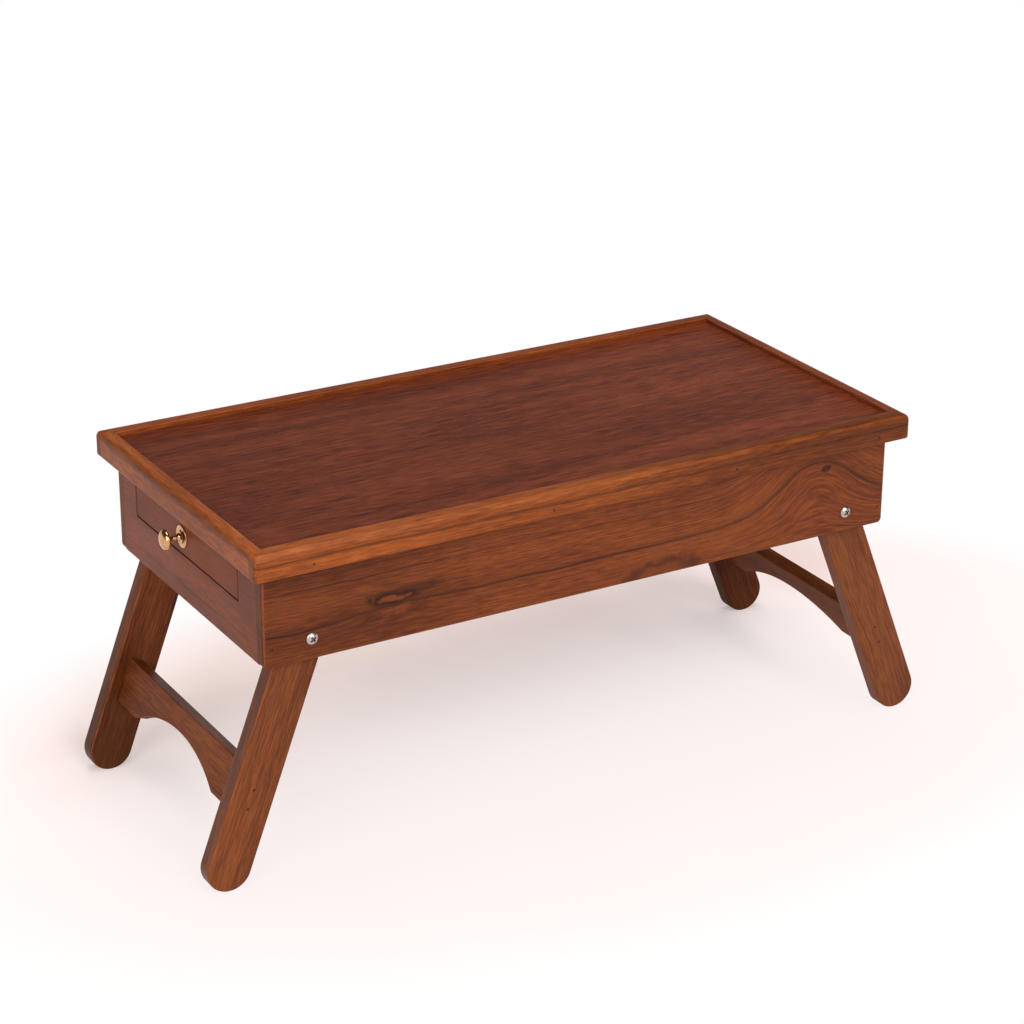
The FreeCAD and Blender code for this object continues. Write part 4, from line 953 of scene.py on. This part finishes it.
# %% [markdown]
# ## Studio
# The photograph was taken in a studio on a pale floor with large soft lamps above and beside the desk. The
# floor keeps the soft shadow and fades to plain white away from it. Behind the desk's right end, where the
# real floor lies in a warm shadow, a faint warm painted shadow is added. The surroundings are pale near the
# horizon and dim above, so that the lacquer keeps its deep colour.

# %% What the camera sees
WHITE = (1, 1, 1, 1)


def in_sight(t):
    """1 for the rays of the camera, of mirrors and of glass, and 0 for those that only carry light."""
    rays = t.node("ShaderNodeLightPath").outputs
    mirrored = t.math("MAXIMUM", rays["Is Glossy Ray"], rays["Is Transmission Ray"])
    return t.math("MAXIMUM", rays["Is Camera Ray"], mirrored)


# %% Floor
def disc(name, radius, steps=96):
    """A flat round sheet: rings of points at growing radii, joined to the middle."""
    angle = np.linspace(0, 2 * math.pi, steps, endpoint=False)
    rings = np.array([[(r * math.cos(a), r * math.sin(a), 0.0) for a in angle] for r in (0.001, radius)])
    mesh = bpy.data.meshes.new(name)
    faces = [f[::-1] for f in grid_faces(2, steps)] + [list(range(steps))]
    mesh.from_pydata(rings.reshape(-1, 3).tolist(), [], faces)
    sheet = bpy.data.objects.new(name, mesh)
    bpy.context.scene.collection.objects.link(sheet)
    return sheet


FLOOR_RADIUS = 14.0
floor = disc("floor", FLOOR_RADIUS)
floor_paint = bpy.data.materials.new("pale_floor")
dress(floor, floor_paint)

# %% Floor paint
NEAR_MIDDLE, NEAR_SIZE = (0.05, 0.0, 0.0), (0.35, 0.22, 1.0)
FLOOR_DARK, FLOOR_PALE, FLOOR_GLOW = (0.87, 0.735, 0.70, 1), (0.90, 0.77, 0.735, 1), (0.99, 0.925, 0.915, 1)
# Where the painted warm shadow lies, how far it spreads, and its tint
PAINTED_WARM_SHADOW = {"Location": (0.447, 0.187, 0.0), "Rotation": (0, 0, 1.16), "Scale": (0.085, 0.045, 1.0)}
PAINTED_SHADOW_TINT = (0.87, 0.80, 0.78, 1)
FRONT_LIFT = 0.88

t = blank(floor_paint)
spot = t.node("ShaderNodeTexCoord").outputs["Object"]
round_desk = t.vector("DIVIDE", t.vector("SUBTRACT", spot, NEAR_MIDDLE), NEAR_SIZE)
far = t.step(t.vector("LENGTH", round_desk), 1.25, 1.85)
cloth = t.noise(spot, scale=7.0, detail=3.0)
pale = t.mix(t.step(cloth, 0.3, 0.7), FLOOR_DARK, FLOOR_PALE)
# A painted warm shadow: a soft bell round one place behind the desk's right end darkens and warms the floor
patch = t.node("ShaderNodeMapping", {"Vector": spot, **PAINTED_WARM_SHADOW}, vector_type="TEXTURE").outputs[0]
apart = t.vector("DOT_PRODUCT", patch, patch)
tint = t.mix(t.bell(t.times(apart, apart)), WHITE, PAINTED_SHADOW_TINT)
cover = t.node("ShaderNodeBsdfDiffuse", {"Color": t.mix(1.0, pale, tint, blend="MULTIPLY")})
glow = t.mix(1.0, t.mix(far, FLOOR_GLOW, WHITE), tint, blend="MULTIPLY")
# In front of the desk the floor glows for the camera, less and less towards the back, where it takes shadow
behind = t.step(t.part(spot, "Y"), -0.11, 0.19, smooth=False)
lift = t.math("MULTIPLY_ADD", t.times(behind, behind), -FRONT_LIFT, FRONT_LIFT)
white = t.node("ShaderNodeEmission", {"Color": glow, "Strength": 1.0})
share = t.times(t.math("MAXIMUM", far, lift), in_sight(t))
blend = t.node("ShaderNodeMixShader", {0: share, 1: cover.outputs[0], 2: white.outputs[0]})
t.node("ShaderNodeOutputMaterial", {"Surface": blend.outputs[0]})

# %% Surroundings
DIM, SKY = (0.07, 0.07, 0.07, 1), (0.36, 0.36, 0.365, 1)
world = bpy.data.worlds.new("studio")
bpy.context.scene.world = world
t = blank(world)
up = t.part(t.node("ShaderNodeTexCoord").outputs["Generated"], "Z")
dimming = t.node("ShaderNodeValToRGB", {"Fac": up})
horizon, above = dimming.color_ramp.elements
horizon.position, horizon.color = 0.10, WHITE
above.position, above.color = 0.26, DIM
around = t.mix(in_sight(t), SKY, dimming.outputs["Color"])
t.node("ShaderNodeOutputWorld", {"Surface": t.node("ShaderNodeBackground", {"Color": around}).outputs[0]})


# %% Lamps
def softbox(name, place, aim, width, height, power):
    """A rectangular soft lamp that faces the point it is aimed at."""
    lamp = bpy.data.lights.new(name, "AREA")
    lamp.shape, lamp.size, lamp.size_y, lamp.energy = "RECTANGLE", width, height, power
    stand = bpy.data.objects.new(name, lamp)
    stand.location = place
    stand.rotation_euler = (Vector(aim) - Vector(place)).to_track_quat("-Z", "Y").to_euler()
    bpy.context.scene.collection.objects.link(stand)


softbox("front_lamp", (0.1, -3.6, 2.2), (0.0, 0.0, 0.15), 2.6, 2.0, 125)
softbox("left_lamp", (-3.0, -1.9, 1.9), (0.0, 0.0, 0.15), 2.0, 2.0, 70)
softbox("overhead_lamp", (0.1, 0.1, 2.6), (0.0, 0.0, 0.2), 1.8, 1.8, 42)

# %% [markdown]
# ## Camera
# The camera stands where the photograph was taken from: about 2.5 m away, 30 degrees to the left of straight
# in front and 23 degrees up, with a long lens. Its roll of three tenths of a degree is kept too.

# %% Camera
lens = bpy.data.cameras.new("camera")
lens.sensor_width, lens.sensor_height, lens.sensor_fit = 36.0, 36.0, "HORIZONTAL"
lens.lens = 100.9015
camera = bpy.data.objects.new("camera", lens)
camera.location = (-1.126812, -1.929954, 1.152692)
TURNED_BY = (67.1362, -0.27699, -30.2941)
camera.rotation_euler = [math.radians(a) for a in TURNED_BY]
bpy.context.scene.collection.objects.link(camera)
bpy.context.scene.camera = camera
bpy.context.scene.view_settings.view_transform = "Standard"
